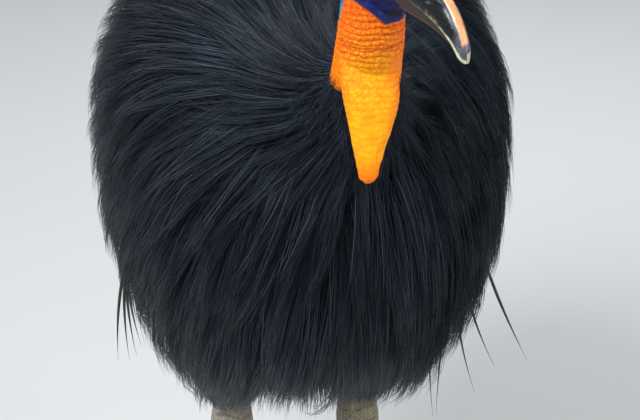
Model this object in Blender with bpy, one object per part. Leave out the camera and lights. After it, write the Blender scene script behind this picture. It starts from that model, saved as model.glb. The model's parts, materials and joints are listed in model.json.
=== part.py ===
"""A life-size cassowary standing on the floor, one closed mesh for each part of its body.

Metres, +Z up. The bird faces -Y and its left side is at +X.
"""

import math

import bmesh
import bpy
import numpy as np
from mathutils import Vector

# Clearance between neighbouring pieces.
GAP = 0.0003

# The whole model moves by this much in plan, so that the middle of its box is the origin.
PLAN_SHIFT = (-0.006, 0.030)

# Plumage: outer surface of the coat, round the body's centre.
BODY_CENTRE = np.array([0.0, 0.08, 0.779])
COAT_HALF_WIDTH = 0.287
COAT_FRONT = 0.425
COAT_REAR = 0.44
COAT_TOP = 0.271
COAT_BELOW = 0.452
COAT_BELOW_REAR = 0.36
RUMP_DROP = 0.09
TOP_POWER = 2.6
BELOW_POWER = 2.0
FRONT_POWER = 2.06
REAR_POWER = 1.70
HEM_HEIGHT = 0.345
HEM_MIDDLE = 0.375
HEM_SLOPE = 0.5

# Core: the body under the outer half of the coat.
CORE_SIDE_INSET = 0.045
CORE_TOP_INSET = 0.035
CORE_FRONT_INSET = 0.045
CORE_REAR_INSET = 0.062
CORE_BELOW = 0.26

# Lie of the feathers: from the neck to under the belly.
NECK_POLE = np.array([0.0, -0.866, 0.5])
BELLY_POLE = np.array([0.0, 0.0995, -0.995])

# Locks of the body.
BODY_LOCKS = 187
LOCK_LENGTH = 0.190
LOCK_WIDTH = 0.074
LOCK_PLACES = 4
ROOT_DEPTH = 0.014
LOCK_THICKNESS = 0.010
LOCK_BREADTHS = (0.60, 1.0, 0.80)
LOCK_HEIGHTS = (1.0, 0.95, 0.70)
LOCK_LIFTS = (0.0, 0.50, 0.92, 1.0)
LOCK_STRIDES = (0.28, 0.36, 0.36, 0.0)
LOCK_SWAY = 0.10
HEM_UNEVENNESS = (-0.01, 0.04)
COLLAR_ANGLE = math.radians(24)
BELLY_ANGLE = math.radians(47)
SEED = 11

# Collar: each row's number of locks, share of the way up the root of the neck, and spread.
COLLAR_ROWS = ((9, 0.62, math.radians(40)), (9, 0.97, math.radians(27)))
COLLAR_LOCK_WIDTH = 0.058
COLLAR_ROOT_DEPTH = 0.010
COLLAR_LIFT = 0.022
COLLAR_DROP = 0.05
COLLAR_PROUD = 0.004
AXIS_PLACES = 41

# Rear of the plumage, parted from the torso by one slanting cut.
TAIL_CUT_POINT = Vector((0.0, 0.375, 0.72))
TAIL_CUT_SLANT = math.radians(-28)

# Feathered root of the neck and bare neck above it.
NECK_ROOT = ((0.0, -0.15, 0.81), (0.010, -0.240, 0.895), (0.029, -0.314, 0.972))
NECK_ROOT_RADII = (0.105, 0.074, 0.0420)
NECK_AXIS = (
    (0.0290, -0.314, 0.972),
    (0.0275, -0.347, 1.018),
    (0.0268, -0.375, 1.065),
    (0.0255, -0.390, 1.120),
    (0.0260, -0.397, 1.165),
)
NECK_RADII = (0.0420, 0.0398, 0.0383, 0.0345, 0.0265)
NECK_SIDES = 14
NECK_FOLDS = 8
NECK_FOLD_DEPTH = 0.0016

# Single wattle on the front of the neck.
WATTLE_AXIS = (
    (0.0220, -0.368, 1.0300),
    (0.0255, -0.384, 0.9850),
    (0.0240, -0.391, 0.9520),
    (0.0215, -0.395, 0.9250),
    (0.0195, -0.398, 0.8975),
)
WATTLE_HALF_WIDTHS = (0.0330, 0.0335, 0.0266, 0.0192, 0.0118)
WATTLE_HALF_DEPTHS = (0.0140, 0.0145, 0.0125, 0.0100, 0.0080)
WATTLE_END = 0.0165
WATTLE_END_STEPS = (math.radians(35), math.radians(68))
WATTLE_FOLDS = 5
WATTLE_SWELL = (-0.03, 0.05)

# Head: centre of the skull, and the way the bill points. Places on it are ahead, left and up.
HEAD_CENTRE = np.array([0.038, -0.425, 1.165])
HEAD_YAW = math.radians(22)
HEAD_PITCH = math.radians(-12)
# Sections of the skull: place ahead, half width, top and bottom heights.
SKULL_SECTIONS = (
    (-0.060, 0.0120, 0.012, -0.018),
    (-0.052, 0.0230, 0.024, -0.030),
    (-0.036, 0.0310, 0.034, -0.037),
    (-0.015, 0.0345, 0.038, -0.040),
    (0.005, 0.0335, 0.037, -0.041),
    (0.024, 0.0285, 0.033, -0.040),
    (0.042, 0.0215, 0.026, -0.035),
    (0.056, 0.0150, 0.018, -0.028),
)
EYE_RADIUS = 0.0105
EYE_PLACE = (0.012, 0.0275, 0.009)
EYE_LOOK = (0.22, 1.0, 0.05)
LID_RING_SHARE = 0.98
LID_THICKNESS = 0.0028
LID_STANDOFF = 0.42
EAR_PLACE = (-0.030, 0.034, -0.010)
EAR_SIZE = (0.0045, 0.0080, 0.0054)

# Bill, from the gape to the tip. The tip closes in over its last share.
GAPE = 0.034
BILL_TIP = 0.173
MOUTH_HEIGHT = -0.016
MOUTH_RISE = 0.001
MOUTH_DROOP = 0.0320
BILL_WIDENING = 0.0165
BILL_TIP_HALF_WIDTH = 0.0060
BILL_TOP = 0.0235
BILL_SLOPE = 0.0165
BILL_HOOK = 0.0410
BILL_ROUNDING = 0.07
BLUNT_LEVEL = 0.25
LOWER_BILL_SHORTER = 0.010
LOWER_BILL_NARROWER = 0.90
LOWER_BILL_DEPTH = 0.0250
LOWER_BILL_EDGE = 0.0036
CHIN_SHARE = 0.16
CHIN_DEPTH = 0.62
UPPER_BILL_OUTLINE = (
    (-1.0, 0.0), (-0.99, 0.40), (-0.86, 0.76), (-0.50, 0.94), (-0.26, 1.0),
    (0.26, 1.0), (0.50, 0.94), (0.86, 0.76), (0.99, 0.40), (1.0, 0.0),
)
LOWER_BILL_OUTLINE = ((-1.0, 0.0), (-0.85, 0.6), (-0.4, 1.0), (0.4, 1.0), (0.85, 0.6), (1.0, 0.0))
NOSTRIL_PLACE = (0.112, 0.0125, -0.001)
NOSTRIL_SIZE = (0.0075, 0.0040, 0.0018)
GAPE_SLIT_PLACE = (0.030, 0.0275, -0.016)
GAPE_SLIT_SIZE = (0.014, 0.006, 0.0009)

# Casque, in the head's own axes.
CASQUE_BASE = 0.012
CASQUE_HEIGHT = 0.145
CASQUE_FRONT = 0.070
CASQUE_FRONT_LEAN = 0.074
CASQUE_REAR = -0.058
CASQUE_REAR_LEAN = 0.014
CASQUE_FOOT_WIDTH = 0.025
CASQUE_BLADE_WIDTH = 0.0075
CASQUE_CREST_WIDTH = 0.002
CREST_HALF_LENGTH = 0.012
CREST_HALF_WIDTH = 0.004
CASQUE_FRONT_NARROWING = 0.42
CASQUE_LEVELS = 9

# Legs.
THIGH_TOP = (0.098, 0.045, 0.56)
KNEE_SIDE = (0.098, 0.085, 0.455)
HOCK = (0.090, 0.122, 0.345)
ANKLE = (0.100, 0.085, 0.038)
THIGH_RADII = (0.080, 0.060, 0.027)
SHANK_RADII = (0.026, 0.031, 0.0225, 0.0205, 0.0215, 0.025)
SHANK_SCUTES = 9
SCUTE_RISE = 0.0016
SHANK_MIDDLE = (0.094, 0.110, 0.22)
THIGH_LOCKS = 10
THIGH_LOCK_WIDTHS = (0.046, 0.034)
THIGH_LOCK_THICKNESS = 0.008
THIGH_LOCK_DEPTH = 0.009
THIGH_LOCK_BEND = 0.014
THIGH_LOCK_LIFT = 0.016
# Places along the thigh's axis: first row of locks, step to the second, length and last place.
THIGH_LOCK_PLACES = (13, 9, 15, 37)
THIGH_COAT = 0.027
THIGH_COAT_START = 2

# Toes of the left foot: turn from straight ahead (outward positive), length, half width and claw length.
TOES = {
    "inner": (math.radians(-24), 0.100, 0.0165, 0.105),
    "middle": (math.radians(3), 0.165, 0.0180, 0.050),
    "outer": (math.radians(32), 0.128, 0.0150, 0.042),
}
TOE_SCUTES = 4
TOE_START = 0.006
TOE_HEIGHTS = (0.021, 0.016, 0.0135, 0.012)
TOE_TAPER = (1.12, 0.80)
TOE_PLATE = 0.07
TOE_BELOW_FLOOR = 0.0012
PAD_REACH = (0.033, 0.038, 0.050)
PAD_SHIFT = (0.0, 0.004, 0.001)
CLAW_START_HEIGHT = 0.0125
CLAW_TIP_DROP = 0.0085
CLAW_ARCH = 0.006
INNER_CLAW_ARCH = 0.010
CLAW_BEND = 2.2
CLAW_RADIUS = 0.0092
CLAW_POINT = 0.0012

# Wings: a short arm under the coat, with bare shafts that hang past it. Each shaft has the place of
# its tip and how far it bows outward.
WING_ARM = ((0.206, -0.075, 0.735), (0.226, -0.01, 0.715), (0.234, 0.060, 0.665))
WING_ARM_RADIUS = 0.012
WING_ARM_TAPER = 0.35
QUILL_RADIUS = 0.0016
QUILL_TAPER = (1.5, 0.7)
QUILL_BOW = 0.015
LEFT_QUILL_TIPS = (
    (0.174, -0.030, 0.373, -0.020),
    (0.184, 0.000, 0.360, -0.005),
    (0.238, 0.000, 0.391, -0.022),
    (0.266, 0.000, 0.428, -0.023),
    (0.312, 0.000, 0.435, -0.009),
)
RIGHT_QUILL_TIPS = (
    (0.257, 0.000, 0.475, 0.012),
    (0.238, 0.070, 0.440, 0.012),
    (0.225, 0.120, 0.420, 0.012),
    (0.215, 0.170, 0.410, 0.012),
    (0.200, 0.215, 0.405, 0.012),
)

# Colour, roughness and metallic value of each finish.
FINISHES = {
    "plumage": ((0.012, 0.013, 0.018), 0.55, 0.0),
    "blue_skin": ((0.03, 0.10, 0.33), 0.60, 0.0),
    "orange_skin": ((0.90, 0.24, 0.02), 0.60, 0.0),
    "casque_horn": ((0.10, 0.075, 0.05), 0.45, 0.0),
    "bill_horn": ((0.03, 0.035, 0.045), 0.30, 0.0),
    "eye": ((0.12, 0.035, 0.015), 0.08, 0.0),
    "leg_scales": ((0.30, 0.27, 0.22), 0.65, 0.0),
    "claw_horn": ((0.05, 0.045, 0.04), 0.35, 0.0),
    "quill": ((0.015, 0.015, 0.018), 0.35, 0.0),
}


def clear_scene():
    for obj in list(bpy.data.objects):
        bpy.data.objects.remove(obj, do_unlink=True)


def new_collection(name, visible=True):
    collection = bpy.data.collections.new(name)
    collection.hide_render = not visible
    bpy.context.scene.collection.children.link(collection)
    return collection


def new_finish(name):
    colour, roughness, metallic = FINISHES[name]
    material = bpy.data.materials.new(name)
    material.use_nodes = True
    shader = material.node_tree.nodes["Principled BSDF"]
    shader.inputs["Base Color"].default_value = (*colour, 1.0)
    shader.inputs["Roughness"].default_value = roughness
    shader.inputs["Metallic"].default_value = metallic
    return material


def unit(vectors):
    """Vectors of length one, row by row."""
    vectors = np.asarray(vectors, float)
    return vectors / np.linalg.norm(vectors, axis=-1, keepdims=True)


def smooth_path(points, count):
    """A cubic through the points, with count places evenly spread over its stretches."""
    points = np.asarray(points, float)
    ends = np.concatenate([[2 * points[0] - points[1]], points, [2 * points[-1] - points[-2]]])
    where = np.linspace(0, len(points) - 1, count)
    start = np.minimum(where.astype(int), len(points) - 2)
    step = (where - start)[:, None]
    before, first, last, after = (ends[start + k] for k in range(4))
    slope_in, slope_out = (last - before) / 2, (after - first) / 2
    square = 3 * (last - first) - 2 * slope_in - slope_out
    cube = slope_in + slope_out - 2 * (last - first)
    return first + slope_in * step + square * step**2 + cube * step**3


def smooth_values(values, count):
    """One number for each place of smooth_path."""
    return smooth_path([(value, 0, 0) for value in values], count)[:, 0]


def frames_along(path, across=(1.0, 0.0, 0.0)):
    """Tangent, side and upper direction at each place, with the side kept near the given axis."""
    tangent = unit(np.gradient(path, axis=0))
    side = unit(np.asarray(across) - (tangent @ np.asarray(across))[:, None] * tangent)
    return tangent, side, np.cross(tangent, side)


def loft(name, rings, home, finish, first_point=None, last_point=None):
    """A closed mesh through rings of equal count, its ends drawn to a middle or a given point."""
    rings = np.asarray(rings, float)
    count, sides, _ = rings.shape
    mesh = bpy.data.meshes.new(name)
    shape = bmesh.new()
    rows = [[shape.verts.new(corner) for corner in ring] for ring in rings]
    first = shape.verts.new(rings[0].mean(axis=0) if first_point is None else first_point)
    last = shape.verts.new(rings[-1].mean(axis=0) if last_point is None else last_point)
    for one, other in zip(rows[:-1], rows[1:]):
        for k in range(sides):
            shape.faces.new((one[k], one[k - 1], other[k - 1], other[k]))
    for k in range(sides):
        shape.faces.new((rows[0][k - 1], rows[0][k], first))
        shape.faces.new((rows[-1][k], rows[-1][k - 1], last))
    bmesh.ops.recalc_face_normals(shape, faces=shape.faces)
    bmesh.ops.triangulate(shape, faces=shape.faces)
    shape.to_mesh(mesh)
    shape.free()
    mesh.materials.append(finish)
    obj = bpy.data.objects.new(name, mesh)
    home.objects.link(obj)
    return obj


def tube_rings(path, radii, sides, across=(1.0, 0.0, 0.0), shape=None):
    """Rings round a path. shape takes angles and the place's number, and gives a factor or an addition."""
    tangent, side, upper = frames_along(path, across)
    angle = np.arange(sides) * 2 * math.pi / sides
    rings = []
    for k, radius in enumerate(radii):
        reach = np.full(sides, float(radius)) if shape is None else radius + shape(angle, k)
        rings.append(
            path[k]
            + (reach * np.cos(angle))[:, None] * side[k]
            + (reach * np.sin(angle))[:, None] * upper[k]
        )
    return rings


def moulded_ball(name, surface, home, finish, across=32, around=20):
    """A primitive sphere whose points are moved by surface, which takes and gives an array of them."""
    mesh = bpy.data.meshes.new(name)
    shape = bmesh.new()
    bmesh.ops.create_uvsphere(shape, u_segments=across, v_segments=around, radius=1.0)
    places = surface(np.array([vertex.co[:] for vertex in shape.verts]))
    for vertex, place in zip(shape.verts, places):
        vertex.co = place
    bmesh.ops.triangulate(shape, faces=shape.faces)
    shape.to_mesh(mesh)
    shape.free()
    mesh.materials.append(finish)
    obj = bpy.data.objects.new(name, mesh)
    home.objects.link(obj)
    return obj


def curve_solid(name, path, radii, home, finish, resolution=2):
    """A round bevelled curve with filled caps, as a welded mesh."""
    curve = bpy.data.curves.new(name, "CURVE")
    curve.dimensions = "3D"
    curve.bevel_depth = 1.0
    curve.bevel_resolution = resolution
    curve.use_fill_caps = True
    spline = curve.splines.new("POLY")
    spline.points.add(len(path) - 1)
    for point, place, radius in zip(spline.points, path, radii):
        point.co = (*place, 1.0)
        point.radius = radius
    guide = bpy.data.objects.new(name + "_curve", curve)
    home.objects.link(guide)
    bpy.context.view_layer.update()
    graph = bpy.context.evaluated_depsgraph_get()
    mesh = bpy.data.meshes.new_from_object(guide.evaluated_get(graph))
    shape = bmesh.new()
    shape.from_mesh(mesh)
    bmesh.ops.remove_doubles(shape, verts=shape.verts, dist=0.00001)
    bmesh.ops.recalc_face_normals(shape, faces=shape.faces)
    bmesh.ops.triangulate(shape, faces=shape.faces)
    shape.to_mesh(mesh)
    shape.free()
    mesh.materials.clear()
    mesh.materials.append(finish)
    obj = bpy.data.objects.new(name, mesh)
    obj.matrix_world = guide.matrix_world
    home.objects.link(obj)
    bpy.data.objects.remove(guide, do_unlink=True)
    return obj


def apply_modifiers(obj):
    graph = bpy.context.evaluated_depsgraph_get()
    mesh = bpy.data.meshes.new_from_object(obj.evaluated_get(graph))
    obj.modifiers.clear()
    obj.data = mesh


def combine(obj, operation, others, solver="EXACT"):
    """One Boolean with a collection of closed meshes, which are removed afterwards."""
    group = bpy.data.collections.new("joined_pieces")
    bpy.context.scene.collection.children.link(group)
    for other in others:
        for home in list(other.users_collection):
            home.objects.unlink(other)
        group.objects.link(other)
        other.display_type = "WIRE"
        other.hide_render = True
    modifier = obj.modifiers.new(operation.lower(), "BOOLEAN")
    modifier.operation = operation
    modifier.solver = solver
    modifier.operand_type = "COLLECTION"
    modifier.collection = group
    bpy.context.view_layer.update()
    apply_modifiers(obj)
    for other in others:
        bpy.data.objects.remove(other, do_unlink=True)
    bpy.data.collections.remove(group)
    keep_largest_surface(obj)


def keep_largest_surface(obj):
    """Drops loose scraps and the walls of sealed hollows."""
    shape = bmesh.new()
    shape.from_mesh(obj.data)
    shape.verts.ensure_lookup_table()
    label = [-1] * len(shape.verts)
    surfaces = []
    for vertex in shape.verts:
        if label[vertex.index] >= 0:
            continue
        members, waiting = [], [vertex]
        label[vertex.index] = len(surfaces)
        while waiting:
            current = waiting.pop()
            members.append(current)
            for edge in current.link_edges:
                neighbour = edge.other_vert(current)
                if label[neighbour.index] < 0:
                    label[neighbour.index] = len(surfaces)
                    waiting.append(neighbour)
        surfaces.append(members)
    spans = [np.ptp([vertex.co[:] for vertex in members], axis=0).sum() for members in surfaces]
    kept = int(np.argmax(spans))
    dropped = [vertex for k, members in enumerate(surfaces) if k != kept for vertex in members]
    bmesh.ops.delete(shape, geom=dropped, context="VERTS")
    bmesh.ops.triangulate(shape, faces=shape.faces)
    shape.to_mesh(obj.data)
    shape.free()


def smooth_shading(obj, degrees=40):
    obj.data.shade_smooth()
    obj.data.set_sharp_from_angle(angle=math.radians(degrees))


def coat_level(places, side, front, rear, top, below, below_rear):
    """Below zero inside the rounded body, above zero outside. Places are taken from the body's centre."""
    x, y = places[:, 0], places[:, 1]
    z = places[:, 2] + RUMP_DROP * np.clip(y / COAT_REAR, 0, None) ** 2
    behind = y > 0
    length = np.where(behind, rear, front)
    power = np.where(behind, REAR_POWER, FRONT_POWER)
    plan = (np.abs(x / side) ** power + np.abs(y / length) ** power) ** (1 / power)
    rearward = np.where(behind, y**2 / (x**2 + y**2 + 1e-9), 0)
    under = below + (below_rear - below) * rearward
    height = np.where(z > 0, top, under)
    power = np.where(z > 0, TOP_POWER, BELOW_POWER)
    return plan**power + np.abs(z / height) ** power - 1


def reach_along(directions, *sizes):
    """Distance from the body's centre to the surface along each direction, found by halving."""
    near = np.zeros(len(directions))
    far = np.full(len(directions), 0.9)
    for _ in range(30):
        middle = (near + far) / 2
        inside = coat_level(directions * middle[:, None], *sizes) < 0
        near = np.where(inside, middle, near)
        far = np.where(inside, far, middle)
    return near


def coat_reach(directions):
    return reach_along(
        directions, COAT_HALF_WIDTH, COAT_FRONT, COAT_REAR, COAT_TOP, COAT_BELOW, COAT_BELOW_REAR
    )


def core_reach(directions):
    return reach_along(
        directions,
        COAT_HALF_WIDTH - CORE_SIDE_INSET,
        COAT_FRONT - CORE_FRONT_INSET,
        COAT_REAR - CORE_REAR_INSET,
        COAT_TOP - CORE_TOP_INSET,
        CORE_BELOW,
        CORE_BELOW,
    )


def lie_of_feathers(directions):
    """Way the coat lies at each direction: the flow from the neck pole to the belly pole."""
    from_neck = NECK_POLE - directions * (directions @ NECK_POLE)[:, None]
    from_neck /= (1.0001 - directions @ NECK_POLE)[:, None]
    to_belly = BELLY_POLE - directions * (directions @ BELLY_POLE)[:, None]
    to_belly /= (1.0001 - directions @ BELLY_POLE)[:, None]
    return unit(to_belly - from_neck)


def even_directions(count):
    """Directions spread evenly over a sphere, on a spiral with golden steps."""
    step = np.arange(count) + 0.5
    height = 1 - 2 * step / count
    turn = step * math.pi * (3 - math.sqrt(5))
    level = np.sqrt(1 - height**2)
    return np.stack([level * np.cos(turn), level * np.sin(turn), height], axis=1)


def lock_solid(name, path, outward, width, thickness, home, finish):
    """A flat tapering lock: three-sided sections, ridge outward, narrow at the root, drawn to a tip."""
    tangent = unit(np.gradient(path, axis=0))
    across = unit(np.cross(tangent, outward))
    rise = np.cross(across, tangent)
    broad = width * np.array(LOCK_BREADTHS)
    thick = thickness * np.array(LOCK_HEIGHTS)
    rings = [
        (
            path[k] - across[k] * broad[k] / 2 - rise[k] * thick[k] / 3,
            path[k] + across[k] * broad[k] / 2 - rise[k] * thick[k] / 3,
            path[k] + rise[k] * thick[k] * 2 / 3,
        )
        for k in range(LOCK_PLACES - 1)
    ]
    return loft(name, rings, home, finish, last_point=path[-1])


def bent_path(root, bend, tip):
    """Places of a lock that leaves its root towards a bend and ends at its tip, a quadratic curve."""
    step = np.linspace(0, 1, LOCK_PLACES)[:, None]
    return root * (1 - step) ** 2 + 2 * bend * step * (1 - step) + tip * step**2


def hem_height(y):
    """Height of the plumage's lower edge, which rises towards the breast."""
    return np.maximum(HEM_HEIGHT, HEM_MIDDLE - HEM_SLOPE * y)


def body_lock_paths(rng):
    """Paths of the locks, from under the core's surface out to the coat's."""
    starts = even_directions(BODY_LOCKS)
    open_area = (starts @ NECK_POLE < math.cos(COLLAR_ANGLE)) & (
        starts @ BELLY_POLE < math.cos(BELLY_ANGLE)
    )
    current = starts[open_area]
    lengths = LOCK_LENGTH * rng.uniform(0.85, 1.2, len(current))
    sway = rng.normal(0, LOCK_SWAY, len(current))
    paths = []
    for k in range(LOCK_PLACES):
        core, coat = core_reach(current), coat_reach(current)
        reach = core - ROOT_DEPTH if k == 0 else core + (coat - core) * LOCK_LIFTS[k]
        places = BODY_CENTRE + current * reach[:, None]
        paths.append(places)
        lie = lie_of_feathers(current)
        lie = unit(lie + np.cross(current, lie) * sway[:, None])
        current = unit(current + lie * (lengths * LOCK_STRIDES[k] / reach)[:, None])
    paths = np.stack(paths, axis=1)
    uneven = rng.uniform(*HEM_UNEVENNESS, len(paths))
    paths[:, :, 2] = np.maximum(paths[:, :, 2], hem_height(paths[:, :, 1]) + uneven[:, None])
    return paths


def body_locks(home, finish, rng):
    locks = []
    for k, path in enumerate(body_lock_paths(rng)):
        outward = unit(path - BODY_CENTRE)
        width = LOCK_WIDTH * rng.uniform(0.9, 1.1)
        locks.append(lock_solid(f"lock_{k}", path, outward, width, LOCK_THICKNESS, home, finish))
    return locks


def collar_locks(home, finish, rng):
    """Locks that spread from the feathered root of the neck over the breast and shoulders."""
    side = np.array([1.0, 0.0, 0.0])
    other = np.cross(NECK_POLE, side)
    axis = smooth_path(NECK_ROOT, AXIS_PLACES)
    radii = smooth_values(NECK_ROOT_RADII, AXIS_PLACES)
    tangent, ring_side, ring_upper = frames_along(axis)
    locks = []
    for row, (count, start_share, spread) in enumerate(COLLAR_ROWS):
        place = int(round(start_share * (AXIS_PLACES - 1)))
        for k in range(count):
            angle = 2 * math.pi * (k + 0.5 * row) / count + rng.normal(0, 0.05)
            around = math.cos(angle) * ring_side[place] + math.sin(angle) * ring_upper[place]
            root = axis[place] + around * (radii[place] - COLLAR_ROOT_DEPTH)
            bend = axis[place] + around * (radii[place] + COLLAR_LIFT) - tangent[place] * COLLAR_DROP
            theta = spread + rng.normal(0, 0.04)
            heading = math.cos(angle) * side + math.sin(angle) * other
            direction = unit([math.cos(theta) * NECK_POLE + math.sin(theta) * heading])
            tip = BODY_CENTRE + direction[0] * (coat_reach(direction)[0] + COLLAR_PROUD)
            step = np.linspace(0, 1, LOCK_PLACES)[:, None]
            outward = unit(np.tile(around, (LOCK_PLACES, 1)) * (1 - step) + direction * step)
            path = bent_path(root, bend, tip)
            name = f"collar_{row}_{k}"
            locks.append(
                lock_solid(name, path, outward, COLLAR_LOCK_WIDTH, LOCK_THICKNESS, home, finish)
            )
    return locks


def build_torso(parts, cutters, finish):
    rng = np.random.default_rng(SEED)

    def core_surface(directions):
        directions = unit(directions)
        return BODY_CENTRE + directions * core_reach(directions)[:, None]

    torso = moulded_ball("torso", core_surface, parts, finish, 20, 13)
    axis = smooth_path(NECK_ROOT, 7)
    root = loft(
        "neck_root", tube_rings(axis, smooth_values(NECK_ROOT_RADII, 7), 14), cutters, finish
    )
    pieces = [root] + body_locks(cutters, finish, rng) + collar_locks(cutters, finish, rng)
    combine(torso, "UNION", pieces, "MANIFOLD")
    return torso


def half_space(name, point, slant, home, finish, offset=0.0):
    """A block that fills all behind a plane tilted about the bird's cross axis."""
    mesh = bpy.data.meshes.new(name)
    shape = bmesh.new()
    bmesh.ops.create_cube(shape, size=2.0)
    shape.to_mesh(mesh)
    shape.free()
    mesh.materials.append(finish)
    obj = bpy.data.objects.new(name, mesh)
    rearward = Vector((0.0, math.cos(slant), math.sin(slant)))
    obj.rotation_euler = (slant, 0.0, 0.0)
    obj.location = point + rearward * (1.0 + offset)
    home.objects.link(obj)
    return obj


def part_tail(torso, parts, cutters, finish):
    """Cuts the rear of the plumage off as a node of its own."""
    tail = bpy.data.objects.new("tail_plumage", torso.data.copy())
    parts.objects.link(tail)
    front = half_space("tail_cutter", TAIL_CUT_POINT, TAIL_CUT_SLANT, cutters, finish)
    combine(torso, "DIFFERENCE", [front], "MANIFOLD")
    rear = half_space("tail_keeper", TAIL_CUT_POINT, TAIL_CUT_SLANT, cutters, finish, GAP)
    combine(tail, "INTERSECT", [rear], "MANIFOLD")
    return tail


def neck_rings(grow=0.0):
    count = 2 * NECK_FOLDS + 3
    path = smooth_path(NECK_AXIS, count)
    radii = smooth_values(NECK_RADII, count) + grow
    tangent = unit(np.gradient(path, axis=0))
    path[0] -= tangent[0] * grow
    path[-1] += tangent[-1] * grow

    def folds(angle, k):
        front = np.clip(-np.sin(angle), 0, 1)
        folded = 1 if 2 < k < count - 3 else 0
        return NECK_FOLD_DEPTH * folded * front * (1 if k % 2 else -1)

    return tube_rings(path, radii, NECK_SIDES, shape=folds)


def build_neck(parts, cutters, finish):
    neck = loft("neck", neck_rings(), parts, finish)
    combine(neck, "DIFFERENCE", [skull("skull_bed", cutters, finish, GAP)])
    return neck


def wattle_rings():
    count = 2 * WATTLE_FOLDS + 2
    path = smooth_path(WATTLE_AXIS, count)
    widths = smooth_values(WATTLE_HALF_WIDTHS, count)
    depths = smooth_values(WATTLE_HALF_DEPTHS, count)
    _, side, upper = frames_along(path)
    angle = np.arange(NECK_SIDES) * 2 * math.pi / NECK_SIDES
    rings = []
    for k in range(count):
        swell = 1 + WATTLE_SWELL[k % 2] * (k > 1)
        rings.append(
            path[k]
            + (widths[k] * swell * np.cos(angle))[:, None] * side[k]
            + (depths[k] * swell * np.sin(angle))[:, None] * upper[k]
        )
    for turn in WATTLE_END_STEPS:
        end = rings[count - 1] - path[-1]
        rings.append(path[-1] + end * math.cos(turn) - [0.0, 0.0, WATTLE_END * math.sin(turn)])
    return rings


def build_wattle(parts, cutters, finish):
    rings = wattle_rings()
    tip = np.asarray(WATTLE_AXIS[-1]) - np.array([0.0, 0.0, WATTLE_END])
    wattle = loft("wattle", rings, parts, finish, last_point=tip)
    bed = loft("neck_bed", neck_rings(GAP + NECK_FOLD_DEPTH), cutters, finish)
    combine(wattle, "DIFFERENCE", [bed])
    return wattle


def head_axes():
    ahead = np.array(
        [
            math.sin(HEAD_YAW) * math.cos(HEAD_PITCH),
            -math.cos(HEAD_YAW) * math.cos(HEAD_PITCH),
            math.sin(HEAD_PITCH),
        ]
    )
    left = np.array([math.cos(HEAD_YAW), math.sin(HEAD_YAW), 0.0])
    return ahead, left, np.cross(left, -ahead)


def head_place(ahead, left, up):
    """World place of a point given ahead of, left of and above the skull's centre."""
    axes = head_axes()
    return HEAD_CENTRE + ahead * axes[0] + left * axes[1] + up * axes[2]


def head_rings(sections, sides):
    """Egg-shaped sections across the head: place ahead, half width, top and bottom heights."""
    angle = np.arange(sides) * 2 * math.pi / sides
    rings = []
    for ahead, half_width, top, bottom in sections:
        middle, half_height = (top + bottom) / 2, (top - bottom) / 2
        rings.append(
            [
                head_place(ahead, half_width * math.cos(a), middle + half_height * math.sin(a))
                for a in angle
            ]
        )
    return rings


def skull(name, home, finish, grow=0.0):
    grown = [(a, w + grow, t + grow, b - grow) for a, w, t, b in SKULL_SECTIONS]
    grown[0] = (SKULL_SECTIONS[0][0] - grow, *grown[0][1:])
    grown[-1] = (SKULL_SECTIONS[-1][0] + grow, *grown[-1][1:])
    return loft(name, head_rings(grown, 16), home, finish)


def head_ball(name, place, radii, home, finish, across=16, around=10):
    """An ellipsoid set in the head's own axes."""
    axes = np.stack(head_axes())

    def surface(points):
        return head_place(*place) + (points * np.asarray(radii)) @ axes

    return moulded_ball(name, surface, home, finish, across, around)


def lid_ring(name, side, home, finish):
    """Rim of the lids round one eye, a torus that leans with the side of the head."""
    bpy.ops.mesh.primitive_torus_add(
        major_segments=12,
        minor_segments=5,
        major_radius=EYE_RADIUS * LID_RING_SHARE,
        minor_radius=LID_THICKNESS,
    )
    ring = bpy.context.active_object
    ring.name = name
    ring.data.materials.append(finish)
    look = unit(np.array(EYE_LOOK) * (1, side, 1)) @ np.stack(head_axes())
    axis = Vector(look)
    ahead, left, up = EYE_PLACE
    place = head_place(ahead, side * left, up) + look * EYE_RADIUS * LID_STANDOFF
    ring.rotation_mode = "QUATERNION"
    ring.rotation_quaternion = axis.to_track_quat("Z", "Y")
    ring.location = place
    for collection in list(ring.users_collection):
        collection.objects.unlink(ring)
    home.objects.link(ring)
    return ring


def build_head(parts, cutters, finishes):
    head = skull("head", parts, finishes["blue_skin"])
    rims = [lid_ring(f"lids_{side}", side, cutters, finishes["blue_skin"]) for side in (-1, 1)]
    combine(head, "UNION", rims)
    socket = (EYE_RADIUS + GAP,) * 3
    hollows = (
        ("socket", EYE_PLACE, socket, 12, 8),
        ("ear", EAR_PLACE, EAR_SIZE, 8, 6),
        ("gape", GAPE_SLIT_PLACE, GAPE_SLIT_SIZE, 8, 5),
    )
    cuts = []
    for side in (-1, 1):
        for name, (ahead, left, up), size, across, around in hollows:
            place = (ahead, side * left, up)
            hollow = head_ball(f"{name}_{side}", place, size, cutters, finishes["eye"], across, around)
            cuts.append(hollow)
    combine(head, "DIFFERENCE", cuts)
    return head


def build_eyes(parts, finish):
    for name, side in (("eye_left", 1), ("eye_right", -1)):
        ahead, left, up = EYE_PLACE
        head_ball(name, (ahead, side * left, up), (EYE_RADIUS,) * 3, parts, finish, 12, 8)


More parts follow.
